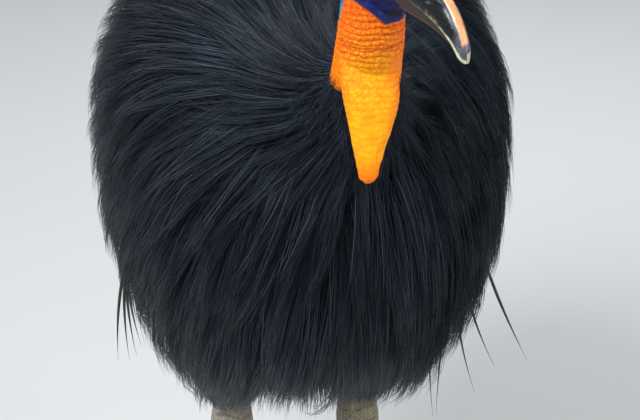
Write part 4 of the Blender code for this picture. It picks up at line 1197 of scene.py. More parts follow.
def body_locks(plumage):
    """Paths and outward directions of the body's locks, from the skin out to the coat's surface."""
    here, lengths, sway, rng = lock_steps(plumage)
    places = plumage.lock_places
    lift = 1 - (1 - np.linspace(0, 1, places)) ** 2.4
    full = rng.uniform(0.86, 1.02, len(here))
    paths = np.empty((len(here), places, 3))
    outward = np.empty_like(paths)
    for k in range(places):
        core, coat = reach_along(here, CORE_SIZES) - 0.010, reach_along(here, COAT_SIZES)
        reach = core + (coat - core) * lift[k] * full
        paths[:, k] = BODY_CENTRE + here * reach[:, None]
        outward[:, k] = here
        lie = lie_of_feathers(here)
        lie = unit(lie + np.cross(here, lie) * sway[:, None])
        here = unit(here + lie * (lengths / (places - 1) / reach)[:, None])
    uneven = rng.uniform(-0.012, 0.022, len(paths))
    paths = cut_at_hem(paths, uneven)
    low = 1 - fade(paths[:, :, 2], 0.36, 0.56)
    paths[:, :, 0] -= LOWER_LEAN * low * fade(-paths[:, :, 1], -0.30, 0.0)
    return paths, outward


def cut_at_hem(paths, uneven):
    """Paths that pass the hem drawn back along themselves, so that their tips end at it."""
    count, places, _ = paths.shape
    clear = paths[:, :, 2] - hem_height(paths[:, :, 1]) - uneven[:, None]
    past = clear < 0
    first = np.where(past.any(axis=1), np.maximum(past.argmax(axis=1), 1), places - 1)
    row = np.arange(count)
    before, after = clear[row, first - 1], clear[row, first]
    part = np.where(past.any(axis=1), before / np.maximum(before - after, 1e-6), 1.0)
    end = np.clip(first - 1 + np.clip(part, 0.05, 1), 0.5, places - 1)
    return along_paths(paths, np.linspace(0, 1, places) * end[:, None])


def along_paths(paths, where):
    """Places at fractional step numbers, between the neighbouring steps of each path."""
    low = np.clip(where.astype(int), 0, paths.shape[1] - 2)
    part = (where - low)[:, :, None]
    row = np.arange(len(paths))[:, None]
    return paths[row, low] * (1 - part) + paths[row, low + 1] * part


def reach_level(heading, heights):
    """Distance from the body's middle line to the coat's surface at each height."""

    def inside(reach):
        places = np.column_stack([heading[:, :2] * reach[:, None], heights - BODY_CENTRE[2]])
        return coat_level(places, COAT_SIZES) < 0

    return halved(len(heading), 0.6, inside)


def belly_locks(plumage):
    """Locks that hang from the underside of the body to the hem, the outer ones along the coat's surface."""
    rng = np.random.default_rng(SEED + 2)
    starts = even_directions(BELLY_DIRECTIONS)
    starts = starts[starts @ BELLY_POLE > math.cos(BELLY_REACH)]
    root = BODY_CENTRE + starts * (reach_along(starts, CORE_SIZES) - 0.008)[:, None]
    heading = unit(starts * (1, 1, 0))
    out = np.linalg.norm(starts[:, :2], axis=1) / math.sin(BELLY_REACH)
    height = hem_height(root[:, 1] * 1.3) + rng.uniform(-0.010, 0.035, len(root))
    reach = reach_level(heading, height) * (0.12 + 0.87 * out**0.8) * rng.uniform(0.92, 1.0, len(root))
    tip = BODY_CENTRE + heading * reach[:, None]
    tip[:, 2] = np.maximum(height, hem_height(tip[:, 1]) - 0.008)
    bend = root * (0.42, 0.42, 0.5) + tip * (0.58, 0.58, 0.5) + heading * 0.018
    outward = unit(heading + [0, 0, -0.1])
    return curved(root, bend, tip, plumage), np.repeat(outward[:, None], plumage.lock_places, axis=1)


def curved(root, bend, tip, plumage):
    """Paths that leave root towards bend and end at tip: quadratic curves."""
    step = np.linspace(0, 1, plumage.lock_places)[None, :, None]
    return root[:, None] * (1 - step) ** 2 + 2 * bend[:, None] * step * (1 - step) + tip[:, None] * step**2


def ring_angles(radius, spacing, rng):
    """Angles of places spacing apart round a ring, from a seeded start."""
    count = int(2 * math.pi * radius / spacing)
    return (np.arange(count) + rng.uniform(0, 1)) * 2 * math.pi / count


def collar_locks(plumage):
    """Locks that spread from the feathered root of the neck over breast and shoulders."""
    rng = np.random.default_rng(SEED + 3)
    axis = smooth_path(NECK_ROOT, 81)
    radii = smooth_values(NECK_ROOT_RADII, 81)
    tangent, ring_side, ring_upper = frames_along(axis)
    side = np.array([1.0, 0.0, 0.0])
    other = np.cross(NECK_POLE, side)
    share, angle = [], []
    for row in np.linspace(0.30, 1.0, 22):
        angle.append(ring_angles(radii[int(row * 80)], COLLAR_SPACING, rng))
        share.append(row + rng.normal(0, 0.012, len(angle[-1])))
    share, angle = np.clip(np.concatenate(share), 0.25, 1), np.concatenate(angle)
    place = np.round(share * 80).astype(int)
    around = np.cos(angle)[:, None] * ring_side[place] + np.sin(angle)[:, None] * ring_upper[place]
    root = axis[place] + around * (radii[place] - 0.007)[:, None]
    bend = axis[place] + around * (radii[place] + 0.020)[:, None] - tangent[place] * 0.055
    spread = np.radians(52 - 28 * share) + rng.normal(0, 0.035, len(share))
    toward = angle - 0.65 * fade(np.cos(angle), -0.2, 0.5)
    heading = np.cos(toward)[:, None] * side + np.sin(toward)[:, None] * other
    direction = unit(np.cos(spread)[:, None] * NECK_POLE + np.sin(spread)[:, None] * heading)
    reach = reach_along(direction, COAT_SIZES) * rng.uniform(0.965, 1.0, len(share))
    tip = BODY_CENTRE + direction * reach[:, None]
    step = np.linspace(0, 1, plumage.lock_places)[None, :, None]
    return curved(root, bend, tip, plumage), unit(around[:, None] * (1 - step) + direction[:, None] * step)


def thigh_locks(plumage, side):
    """Short locks that lie down the thigh as far as the hock."""
    rng = np.random.default_rng(SEED + 4)
    axis = smooth_path(on_side(THIGH_AXIS, side), 81)
    radii = smooth_values(THIGH_RADII, 81)
    _, ring_side, ring_upper = frames_along(axis)
    place, angle = [], []
    for row in range(14, 66, 5):
        angle.append(ring_angles(radii[row], THIGH_SPACING, rng))
        place.append(np.full(len(angle[-1]), row))
    place, angle = np.concatenate(place), np.concatenate(angle)
    around = np.cos(angle)[:, None] * ring_side[place] + np.sin(angle)[:, None] * ring_upper[place]
    end = np.minimum(place + rng.integers(22, 32, len(place)), 79)
    half = (place + end) // 2
    root = axis[place] + around * (radii[place] - 0.006)[:, None]
    bend = axis[half] + around * (radii[half] + 0.016)[:, None]
    tip = axis[end] + around * (radii[end] + rng.uniform(0.004, 0.014, len(place)))[:, None]
    return curved(root, bend, tip, plumage), np.repeat(around[:, None], plumage.lock_places, axis=1)


def strands_of(locks, plumage, seed, per_lock, spread, layer):
    """Fine strands of each lock: rooted round its root, drawn together towards its tip, in layers.

    Returns paths, outward directions, widths and tones, one row to a strand.
    """
    paths, outward = locks
    rng = np.random.default_rng(seed)
    lock = np.repeat(np.arange(len(paths)), per_lock)
    count = len(lock)
    step = np.linspace(0, 1, STRAND_PLACES)
    length = rng.uniform(0.70, 1.0, count)
    where = step * length[:, None] * (paths.shape[1] - 1)
    centre = along_paths(paths[lock], where)
    out = unit(along_paths(outward[lock], where))
    tangent = unit(np.gradient(centre, axis=1))
    across = unit(np.cross(tangent, out))
    beside = rng.uniform(-1, 1, count)[:, None] * spread * (1 - plumage.clumping * step**1.2)
    beside = beside + rng.normal(0, plumage.looseness, count)[:, None] * step**2
    ahead = rng.uniform(-1, 1, count)[:, None] * spread * (1 - 0.5 * step)
    deeper = rng.random(count)[:, None] ** 1.4 * layer * np.sin(np.minimum(step * 2.2, 1.3))
    deeper = deeper - rng.normal(0, plumage.looseness * 0.4, count)[:, None] * step**2
    centre = centre + across * beside[:, :, None] + tangent * ahead[:, :, None] - out * deeper[:, :, None]
    patch = 0.5 + 0.5 * ripples(paths[:, 0], 0.16, SEED + 6)
    # Tone of each lock: random patches and a random part, less painted shade on the bird's left, the side
    # away from the key light.
    lock_tone_and_shade = 0.35 * patch + 0.30 * rng.uniform(0, 1, len(paths)) - 0.22 * fade(paths[:, 0, 0], 0.0, 0.16)
    tone = np.clip(lock_tone_and_shade[lock] + 0.42 * rng.beta(1.6, 2.4, count), 0, 1)
    # Painted highlights: a share of strands turn grey, more round the shoulder, where the light catches the
    # coat.
    shoulder = bell(np.linalg.norm(paths[:, 0] - SHOULDER, axis=1), 0, SHOULDER_REACH)
    pale = plumage.highlight_share * (1 + 5 * shoulder[lock])
    tone = tone + HIGHLIGHT_TONE * (rng.random(count) < pale)
    widths = plumage.strand_width * rng.uniform(0.65, 1.25, count)
    return centre, out, widths, tone


def strand_shape(paths, outward, widths):
    """Three-sided tapering prisms, one to a path: four rings and a tip, with the ridge outward."""
    tangent = unit(np.gradient(paths, axis=1))
    across = unit(np.cross(tangent, outward))
    rise = np.cross(across, tangent)
    rings = paths.shape[1] - 1
    half = widths[:, None] * np.linspace(1.0, 0.55, rings) * 0.5
    half[:, 0] *= 0.7
    low = paths[:, :rings] - rise[:, :rings] * (half * 0.4)[:, :, None]
    reach = across[:, :rings] * half[:, :, None]
    ridge = paths[:, :rings] + rise[:, :rings] * (half * 0.8)[:, :, None]
    corners = np.stack([low + reach, low - reach, ridge], axis=2).reshape(len(paths), rings * 3, 3)
    points = np.concatenate([corners, paths[:, rings:]], axis=1)
    template, chart = strand_template(rings)
    faces = template[None] + (np.arange(len(paths)) * points.shape[1])[:, None, None]
    return points.reshape(-1, 3), faces.reshape(-1, 3), chart


def strand_template(rings):
    """Triangles of one strand, and each corner's place on its patch of the map."""
    faces, chart = [], []
    for i in range(rings - 1):
        for j in range(3):
            a, b = 3 * i + j, 3 * i + (j + 1) % 3
            faces += [(a, b, b + 3), (a, b + 3, a + 3)]
            left, right = (i / rings, j / 3), (i / rings, (j + 1) / 3)
            far_left, far_right = ((i + 1) / rings, j / 3), ((i + 1) / rings, (j + 1) / 3)
            chart += [(left, right, far_right), (left, far_right, far_left)]
    last = 3 * (rings - 1)
    for j in range(3):
        faces.append((last + j, last + (j + 1) % 3, 3 * rings))
        start = (rings - 1) / rings
        chart.append(((start, j / 3), (start, (j + 1) / 3), (1.0, (j + 0.5) / 3)))
    faces.append((0, 2, 1))
    chart.append(((0.0, 0.0), (0.0, 0.66), (0.1, 0.33)))
    return np.array(faces), np.array(chart)


def coat_piece(name, strands, root_places, material, nodes=()):
    """One piece of the coat, with each strand's patch on the bake map at its root's place."""
    paths, outward, widths, tone = strands
    points, faces, chart = strand_shape(paths, outward, widths)
    obj = new_object(name, (points, faces))
    mesh = obj.data
    per_strand = len(points) // len(paths)
    add_values(mesh, "tone", np.repeat(tone, per_strand))
    along = np.append(np.repeat(np.linspace(0, 1, STRAND_PLACES)[:-1], 3), 1.0)
    add_values(mesh, "along", np.tile(along, len(paths)))
    low, high = root_places.min(axis=0), root_places.max(axis=0)
    place = 0.01 + 0.98 * (root_places - low) / np.maximum(high - low, 1e-9)
    patch = (chart.reshape(-1, 2) - 0.5) * BAKE_PATCH
    layer = mesh.uv_layers.new(name="OFBake")
    layer.uv.foreach_set("vector", (place[:, None] + patch[None]).astype(np.float32).ravel())
    return finished(obj, material, nodes)


def round_body(points):
    """Turn about the body's middle and height angle: the bake map's unwrap of the trunk."""
    direction = unit(points - BODY_CENTRE)
    turn = np.arctan2(direction[:, 0], -direction[:, 1]) / (2 * math.pi) + 0.5
    return np.stack([turn, 0.5 + np.arcsin(direction[:, 2]) / math.pi], axis=1)


def round_axis(points, axis):
    """Turn about an axis and share along it: the bake map's unwrap of neck and thighs."""
    share, offset = nearest_on(points, axis)
    return np.stack([np.arctan2(offset[:, 0], -offset[:, 1]) / (2 * math.pi) + 0.5, share], axis=1)


# Horn: casque, bill, claws and bare shafts.


def casque_shape():
    """A tall helmet: teardrop sections, narrow in front and broad behind, leaning back to a blunt crest."""
    share = np.linspace(0, 1, CASQUE_RINGS)[:, None] ** 0.8
    height = CASQUE_BASE + (CASQUE_HEIGHT - CASQUE_BASE) * np.sin(share * math.pi / 2) ** 0.9
    rise = height / CASQUE_HEIGHT
    front = 0.070 - 0.074 * rise**2.1
    rear = -0.058 + 0.014 * rise**2.2
    width = 0.025 * (1 - rise) ** 0.8 + 0.0075 * (1 - share**4) + 0.002
    closing = 1 - np.sqrt(1 - np.clip((share - 0.875) / 0.125, 0, 1) ** 2)
    half = (front - rear) / 2 * (1 - closing) + 0.012 * closing
    width = width * (1 - closing) + 0.004 * closing
    angle = np.arange(CASQUE_RINGS) * 2 * math.pi / CASQUE_RINGS
    along = np.cos(angle)[None]
    ahead = (front + rear) / 2 + along * half
    left = np.sin(angle)[None] * width * (1 - 0.42 * (along + 1) / 2)
    local = np.stack([ahead, left, np.repeat(height, CASQUE_RINGS, axis=1)], axis=2)
    return facing_out(tube(head_place(local)))


def casque_relief(points):
    """Growth ridges that follow the rim, warps of the sides and nicks in the crest, as a height."""
    local = head_local(points)
    rings = local[:, 2] * 520 + 6 * local[:, 0] * 20 + 1.2 * ripples(points, 0.05, 31)
    ridges = 0.00022 * np.sin(rings) * fade(local[:, 2], 0.03, 0.06)
    warp = 0.0011 * ripples(points, 0.07, 32) * fade(local[:, 2], 0.03, 0.07)
    nicks = 0.0012 * np.clip(ripples(points, 0.012, 33) - 0.9, 0, 1) * fade(local[:, 2], 0.10, 0.14)
    return ridges + warp - nicks


def bill_profile(share):
    """Half width and top height of the upper bill from the gape (0) to the tip (1)."""
    return 0.0165 * (1 - share) ** 0.7 + 0.0060, 0.0235 - 0.0165 * share - 0.0410 * share**5


def mouth_line(ahead):
    """Height where the two halves of the bill meet: level at first, then drooping to the tip."""
    share = np.clip((ahead - GAPE) / (BILL_TIP - GAPE), 0, 1)
    return MOUTH_HEIGHT + 0.001 * share - 0.0320 * share**5


def half_bill(reach, far_of, breadth, hollow, ridge):
    """Sections of one half of the bill along its length: a boxy roof over a flat mouth side.

    The roof's half width is a cosine and its height a sine to the power 0.8, with a flat ridge at the
    middle. The last stretch closes in as a quarter of an ellipse, about a level near the mouth line.
    """
    share = 1 - (1 - np.linspace(0, 1, BILL_RINGS)[:, None]) ** 1.35
    closing = np.sqrt(1 - np.clip((share - 1 + BILL_ROUNDING) / BILL_ROUNDING, 0, 0.998) ** 2)
    ahead = GAPE + reach * share
    angle = np.linspace(0, math.pi, BILL_SIDES)[None]
    wide = np.cos(angle)
    width, far, mouth = bill_profile(share)[0] * breadth, far_of(share), mouth_line(ahead)
    flat = np.exp(-((wide * width / RIDGE_HALF_WIDTH) ** 6))
    tall = np.sin(angle) ** 0.8 * (1 - ridge) + ridge * flat
    roof = [np.repeat(ahead, BILL_SIDES, axis=1), wide * width, mouth + tall * (far - mouth)]
    across = np.linspace(-0.9, 0.9, BILL_FLOOR)[None]
    floor = [np.repeat(ahead, BILL_FLOOR, axis=1), across * width, mouth + hollow * (1 - across**2) * width]
    rings = np.concatenate([np.stack(roof, axis=2), np.stack(floor, axis=2)], axis=1)
    middle = BLUNT_LEVEL * far + (1 - BLUNT_LEVEL) * mouth
    rings[:, :, 1] *= closing
    rings[:, :, 2] = middle + (rings[:, :, 2] - middle) * closing
    return rings


def upper_bill_shape():
    """The upper half of the bill, with its flat ridge, its blunt drooping tip and a nostril in each side."""
    rings = half_bill(BILL_TIP - GAPE, lambda share: bill_profile(share)[1], 1.0, 0.10, 0.07)
    place, side, up = rings[:, :, 0], rings[:, :, 1], rings[:, :, 2]
    along = (place - NOSTRIL_PLACE[0]) / 0.0105
    above = (up - NOSTRIL_PLACE[2] - 0.0015 * along) / 0.0024
    slit = np.exp(-((along**2 + above**2) ** 1.5))
    rings[:, :, 1] = side - np.sign(side) * 0.0034 * slit
    return facing_out(tube(head_place(rings)))


def lower_bill_depth(share):
    """Depth of the lower bill under the mouth line, from the gape (0) to its tip (1)."""
    return LOWER_BILL_TIP + LOWER_BILL_DEPTH * (1 - share) ** 0.65


def lower_bill_shape():
    """The lower half of the bill, a deep trough with a rounded keel that rises to the chin."""

    def keel(share):
        chin = 0.62 + 0.38 * np.clip(share / 0.16, 0, 1)
        return mouth_line(GAPE + LOWER_BILL_REACH * share) - chin * lower_bill_depth(share)

    rings = half_bill(LOWER_BILL_REACH, keel, 0.90, 0.0, 0.0)
    rings[:, BILL_SIDES:, 2] -= 0.0006
    return facing_out(tube(head_place(rings)))


def lower_bill_paint(points, horn):
    """Dark brown sides that darken to the tip, and a paler mottled keel."""
    ahead, _, up = head_local(points).T
    share = np.clip((ahead - GAPE) / (BILL_TIP - GAPE), 0, 1)
    paint = mix(plain(points, horn.lower_bill), horn.bill_side, fade(share, 0.45, 0.9))
    depth = lower_bill_depth(np.clip(share * (BILL_TIP - GAPE) / LOWER_BILL_REACH, 0, 1))
    keel = fade((mouth_line(ahead) - up) / depth, 0.62, 0.90)
    return mix(paint, horn.keel, keel * np.clip(0.5 + 0.4 * ripples(points, 0.006, 42), 0, 1))


def upper_bill_paint(points, horn):
    """Dark sides, a sharp-edged peach ridge that is partly painted sunlight, cream cutting edges, and a
    blue-grey tip with pale specks.
    """
    ahead, left, up = head_local(points).T
    share = np.clip((ahead - GAPE) / (BILL_TIP - GAPE), 0, 1)
    above, off = up - mouth_line(ahead), np.abs(left)
    wander = 0.0007 * ripples(points, 0.010, 41)
    tip = fade(share + 12 * wander, 0.84, 0.94)
    paint = mix(plain(points, horn.bill_side), horn.bill_tip, 0.85 * tip)
    paint = mix(paint, horn.bill_edge, 0.6 * tip * fade(ripples(points, 0.0035, 44), 0.9, 1.3))
    spots = fade(ripples(points, 0.0045, 43), -0.2, 0.7) * (1 - fade(above, 0.003, 0.007))
    paint = mix(paint, horn.bill_olive, 0.8 * spots * bell(share, 0.55, 0.11))
    low = 0.0013 + 0.0036 * fade(share, 0.72, 0.95) + 0.0045 * fade(share, 0.80, 0.93) * (left > 0)
    rim = 1 - fade(above + wander, low, low + 0.0010)
    paint = mix(paint, horn.bill_edge, (0.30 + 0.65 * fade(share, 0.50, 0.80)) * rim)
    # The peach ridge is partly the horn's own colour and partly painted sunlight on the bill's lit side.
    half = 0.0060 - 0.0016 * fade(share, 0.45, 0.9)
    roof = fade(above, 0.006, 0.010) * (1 - fade(share + 8 * wander, 0.93, 0.96))
    paint = mix(paint, horn.bill_ridge, (1 - fade(off + 0.4 * wander, half - 0.0005, half + 0.0005)) * roof)
    paint = mix(paint, horn.bill_edge, 0.55 * bell(off, half - 0.0004, 0.0007) * roof * (left < 0))
    # Painted shade in the nostril's slit.
    slit = ((ahead - NOSTRIL_PLACE[0]) / 0.0095) ** 2 + ((up - NOSTRIL_PLACE[2]) / 0.0022) ** 2
    return mix(paint, (0.004, 0.004, 0.005), 1 - fade(slit, 0.6, 1.4))


def eye_shape(side):
    """The eyeball: a sphere whose front bulges a little into a cornea."""
    centre, look, forward, upward = eye_axes(side)

    def surface(directions):
        bulge = 1 + 0.05 * np.clip((directions[:, 2] - 0.80) / 0.20, 0, 1) ** 0.8
        return centre + (directions * (EYE_RADIUS * bulge)[:, None]) @ np.stack([forward, upward, look])

    return facing_out(ball(surface, 96, 72))


def eye_paint(points, side, eye):
    """Pupil, iris with a dark rim, and the dark rest of the ball, by the angle from the look."""
    centre, look, _, _ = eye_axes(side)
    angle = np.arccos(np.clip(unit(points - centre) @ look, -1, 1))
    paint = mix(plain(points, eye.iris), np.array(eye.iris) * 1.9, fade(angle, 0.28, 0.5))
    paint = mix(paint, (0.004, 0.003, 0.003), fade(angle, 0.60, 0.70))
    return mix(paint, (0.001, 0.001, 0.001), 1 - fade(angle, 0.27, 0.30))


def claw_shape(toe, side):
    """A tapering claw at the end of its toe: long and straight on the inner toe, with a keel on top."""
    turn, length, _, claw = TOES[toe]
    ahead = np.array([math.sin(turn) * side, -math.cos(turn), 0.0])
    start = on_side(SHANK_AXIS[-1], side) * (1, 1, 0) + ahead * length
    arch = 0.010 if toe == "inner" else 0.006
    share = np.linspace(0, 1, CLAW_RINGS)
    rise = 0.0125 + arch * np.sin(share * 2.2) - (0.0085 + arch * math.sin(2.2)) * share**1.5
    path = start + ahead * claw * share[:, None] + np.array([0, 0, 1.0]) * rise[:, None]
    radii = 0.0092 * (1 - share) ** 0.8 + 0.0012
    radii = np.where(share < 0.06, radii * (0.9 + share / 0.6), radii)
    return facing_out(swept(path, radii, CLAW_SIDES, across=np.cross(ahead, (0, 0, 1.0))))


def shaft_paths(side, tips):
    """Bare shafts fanned from the arm, running inside the coat and free below it."""
    arm = smooth_path(on_side(WING_ARM, side), 21)
    share = np.linspace(0, 1, 48)[:, None]
    paths = []
    for k, (*tip, bow) in enumerate(tips):
        root = arm[20 - 4 * (len(tips) - 1 - k)]
        bulge = np.array([side * bow, SHAFT_BOW, 0.0]) * 4 * share * (1 - share)
        paths.append(root * (1 - share) + on_side(tip, side) * share + bulge)
    return paths


def wing_shape(side, tips):
    """A short arm and its bare shafts."""
    arm = smooth_path(on_side(WING_ARM, side), 24)
    swell = 0.5 + 0.5 * np.sin(np.linspace(0.35, math.pi - 0.35, 24))
    shapes = [swept(arm, WING_ARM_RADIUS * swell, 24)]
    for path in shaft_paths(side, tips):
        taper = 1.35 * (1 - 0.93 * fade(np.linspace(0, 1, len(path)), 0.60, 1.02))
        shapes.append(swept(path, QUILL_RADIUS * taper, 12))
    return joined([facing_out(shape) for shape in shapes])


# Settings.


def size_setting(name, description, default, low, high):
    return FloatProperty(
        name=name, description=description, default=default, min=low, max=high, unit="LENGTH", precision=4
    )


def share_setting(name, description, default):
    return FloatProperty(
        name=name, description=description, default=default, min=0.0, max=1.0, subtype="FACTOR"
    )


def colour_setting(name, description, default):
    return FloatVectorProperty(
        name=name, description=description, default=default, size=3, min=0.0, max=1.0, subtype="COLOR"
    )


class CASSOWARY_PG_skin(bpy.types.PropertyGroup):
    """Skin of head, neck and wattle."""

    fine_voxel: size_setting("Fine grain", "Mesh size on head, neck and wattle", 0.0016, 0.001, 0.01)
    leg_voxel: size_setting("Leg grain", "Mesh size on shanks and feet", 0.0029, 0.001, 0.01)
    coarse_voxel: size_setting("Body grain", "Mesh size under the coat", 0.013, 0.003, 0.03)
    wrinkle_depth: size_setting("Wrinkle depth", "Depth of the neck's creases", 0.0015, 0.0, 0.005)
    cobbles: FloatProperty(
        name="Cobbles", description="Cobbles of the skin to the metre", default=150.0, min=50.0, max=600.0
    )
    grain: share_setting("Pebble grain", "Strength of the skin's fine grain", 0.45)
    orange: colour_setting("Orange", "Upper part of the bare neck", (0.98, 0.215, 0.002))
    yellow: colour_setting("Yellow-orange", "Lower neck and wattle", (0.955, 0.44, 0.006))
    # Red: the skin's own colour high up and behind, and painted shade in the creases.
    red: colour_setting("Red", "Creases and upper edge", (0.60, 0.075, 0.006))
    blue: colour_setting("Blue", "Face and throat", (0.007, 0.012, 0.078))
    bright_blue: colour_setting("Bright blue", "Fold at the throat's lower edge", (0.016, 0.040, 0.27))
    pale_blue: colour_setting("Turquoise", "Sides and back of the upper neck", (0.020, 0.27, 0.50))
    # Dark blue: the face round bill and eyes, and the painted shadow over the throat's edge.
    throat_shadow: colour_setting("Dark blue", "Face round the bill and the eyes", (0.003, 0.004, 0.009))


class CASSOWARY_PG_plumage(bpy.types.PropertyGroup):
    """Fine strands of the coat."""

    locks: IntProperty(name="Locks", description="Locks on the body", default=2900, min=200, max=6000)
    strands: IntProperty(name="Strands", description="Strands in a lock", default=15, min=4, max=30)
    lock_places: IntProperty(name="Steps", description="Steps along a lock's path", default=10, min=5, max=20)
    strand_length: size_setting("Strand length", "Length of the body's strands", 0.205, 0.05, 0.4)
    strand_width: size_setting("Strand width", "Width of a strand at its root", 0.00108, 0.0005, 0.004)
    looseness: size_setting("Looseness", "How far tips stray from their lock", 0.0035, 0.0, 0.02)
    clumping: share_setting("Clumping", "How far a lock's strands draw together at the tip", 0.62)
    gloss: share_setting("Gloss", "Specular level of a strand", 0.38)
    sheen: share_setting("Sheen", "Weight of the blue sheen", 0.05)
    # Painted highlights: the share of strands that turn grey.
    highlight_share: share_setting("Pale strands", "Share of strands that are grey", 0.05)
    # Painted shade and painted light: the strands' colours in shade and in the light; the shade colour also
    # paints the skin under the coat.
    strand_shade_colour: colour_setting("Deep colour", "Strands in shade", (0.0017, 0.0020, 0.0031))
    lit_colour: colour_setting("Light colour", "Strands in the light", (0.016, 0.021, 0.032))
    tip_colour: colour_setting("Tip colour", "Worn tips", (0.020, 0.017, 0.015))
    # Painted highlight: the colour of the grey strands.
    highlight_colour: colour_setting("Pale colour", "The grey strands", (0.055, 0.062, 0.076))
    sheen_colour: colour_setting("Sheen colour", "Tint of the gloss", (0.62, 0.78, 1.0))


class CASSOWARY_PG_horn(bpy.types.PropertyGroup):
    """Casque, bill and claws."""

    casque: colour_setting("Casque", "Horn of the helmet", (0.125, 0.090, 0.058))
    casque_edge: colour_setting("Casque edge", "Worn crest and base", (0.040, 0.030, 0.024))
    bill_side: colour_setting("Bill side", "Dark side of the bill", (0.0026, 0.0036, 0.0066))
    # Ridge of the upper bill: partly its own peach and partly painted sunlight.
    bill_ridge: colour_setting("Bill ridge", "Ridge of the upper bill", (0.95, 0.42, 0.18))
    bill_edge: colour_setting("Bill edge", "Cutting edges and tip", (0.62, 0.58, 0.38))
    bill_tip: colour_setting("Bill tip", "Blue-grey end of the upper bill", (0.105, 0.115, 0.150))
    bill_olive: colour_setting("Bill spots", "Spots above the cutting edge", (0.30, 0.27, 0.09))
    lower_bill: colour_setting("Lower bill", "Side of the lower bill", (0.016, 0.008, 0.006))
    keel: colour_setting("Keel", "Under side of the lower bill", (0.15, 0.115, 0.085))
    claw: colour_setting("Claw", "Horn of the claws", (0.045, 0.038, 0.032))


class CASSOWARY_PG_legs(bpy.types.PropertyGroup):
    """Scaled shanks and feet."""

    scale_density: FloatProperty(
        name="Scale density", description="Small scales to the metre", default=210.0, min=50.0, max=600.0
    )
    grey: colour_setting("Grey", "Paler plates", (0.38, 0.345, 0.28))
    olive: colour_setting("Olive", "Darker plates", (0.20, 0.175, 0.105))
    seam: colour_setting("Seams", "Skin between the plates", (0.060, 0.050, 0.035))


class CASSOWARY_PG_eye(bpy.types.PropertyGroup):
    """Eyes."""

    iris: colour_setting("Iris", "Colour of the iris", (0.16, 0.045, 0.014))


class CASSOWARY_PG_stage(bpy.types.PropertyGroup):
    """Floor, light and camera."""

    floor_colour: colour_setting("Floor", "Colour of the floor", (0.60, 0.60, 0.59))
    world_colour: colour_setting("Surroundings", "Colour of the even light", (0.86, 0.90, 0.96))
    world_strength: FloatProperty(
        name="Even light", description="Strength of the light from all round", default=0.42, min=0.0, max=3.0
    )
    key_power: FloatProperty(
        name="Key light", description="Power of the large soft light", default=175.0, min=0.0, unit="POWER"
    )
    camera_place: FloatVectorProperty(
        name="Camera", description="Place of the camera", default=(-0.4088, -2.9781, 1.9694),
        size=3, subtype="TRANSLATION", unit="LENGTH",
    )
    camera_target: FloatVectorProperty(
        name="Target", description="Place the camera looks at", default=(0.014, 0.030, 0.68),
        size=3, subtype="TRANSLATION", unit="LENGTH",
    )
    focal_length: FloatProperty(
        name="Focal length", description="Focal length in millimetres", default=138.375, min=20.0, max=400.0
    )


SETTINGS = {
    "skin": CASSOWARY_PG_skin,
    "plumage": CASSOWARY_PG_plumage,
    "horn": CASSOWARY_PG_horn,
    "legs": CASSOWARY_PG_legs,
    "eye": CASSOWARY_PG_eye,
    "stage": CASSOWARY_PG_stage,
}


def settings(context, name):
    return getattr(context.scene, f"cassowary_{name}")


# Operators.


class CASSOWARY_OT_skin(bpy.types.Operator):
    """Make the whole skin as one surface, with its creases, plates and markings"""

    bl_idname = "cassowary.skin"
    bl_label = "Skin"

    def execute(self, context):
        skin, legs = settings(context, "skin"), settings(context, "legs")
        plumage = settings(context, "plumage")
        points, faces = build_skin_shape(skin)
        moved = folded(points, faces, skin)
        obj = new_object("skin", (moved, faces))
        if len(faces) > SKIN_FACE_LIMIT:
            raise RuntimeError(f"the skin has {len(faces)} faces, over {SKIN_FACE_LIMIT}")
        add_paint(obj.data, skin_paint(points, skin, legs, plumage))
        region = skin_regions(points)
        height = points[:, 2]
        # Cobbled sets, by height, how strongly the cobbles' bumps and the painted shade of their creases
        # show.
        rough = 0.22 + 0.38 * fade(height, 0.955, 1.00) + 0.40 * fade(height, 1.02, 1.05)
        add_values(obj.data, "cobbled", region["bare"] * np.where(region["blue"] > 0.5, 0.20, rough))
        finished(obj, bare_skin_finish(skin), FLESH)
        obj.data.materials.append(feathered_skin_finish(skin))
        obj.data.materials.append(scaled_leg_finish(legs))
        kind = np.where(region["leg"], 2, np.where(region["bare"], 0, 1)).astype(np.int32)
        obj.data.polygons.foreach_set("material_index", kind[faces[:, 0]])
        obj.data.update()
        return {"FINISHED"}


class CASSOWARY_OT_eyes(bpy.types.Operator):
    """Make both eyes"""

    bl_idname = "cassowary.eyes"
    bl_label = "Eyes"

    def execute(self, context):
        material = eye_finish()
        for name, side in SIDES:
            points, faces = eye_shape(side)
            obj = new_object(f"eyeball_{name}", (points, faces))
            add_paint(obj.data, eye_paint(points, side, settings(context, "eye")))
            finished(obj, material, [f"eye_{name}"])
        return {"FINISHED"}


class CASSOWARY_OT_casque(bpy.types.Operator):
    """Make the helmet"""

    bl_idname = "cassowary.casque"
    bl_label = "Casque"

    def execute(self, context):
        horn = settings(context, "horn")
        points, faces = casque_shape()
        points = points + vertex_normals(points, faces) * casque_relief(points)[:, None]
        obj = new_object("helmet", (points, faces))
        local = head_local(points)
        edge = np.maximum(fade(local[:, 2], 0.118, 0.150), 1 - fade(local[:, 2], 0.030, 0.055))
        share = np.clip(edge + 0.45 * ripples(points, 0.05, 34), 0, 1)
        add_paint(obj.data, mix(plain(points, horn.casque), horn.casque_edge, share))
        finished(obj, horn_finish("casque_horn", (1, 1, 0.25), 0.34, 90.0), ["casque"])
        return {"FINISHED"}


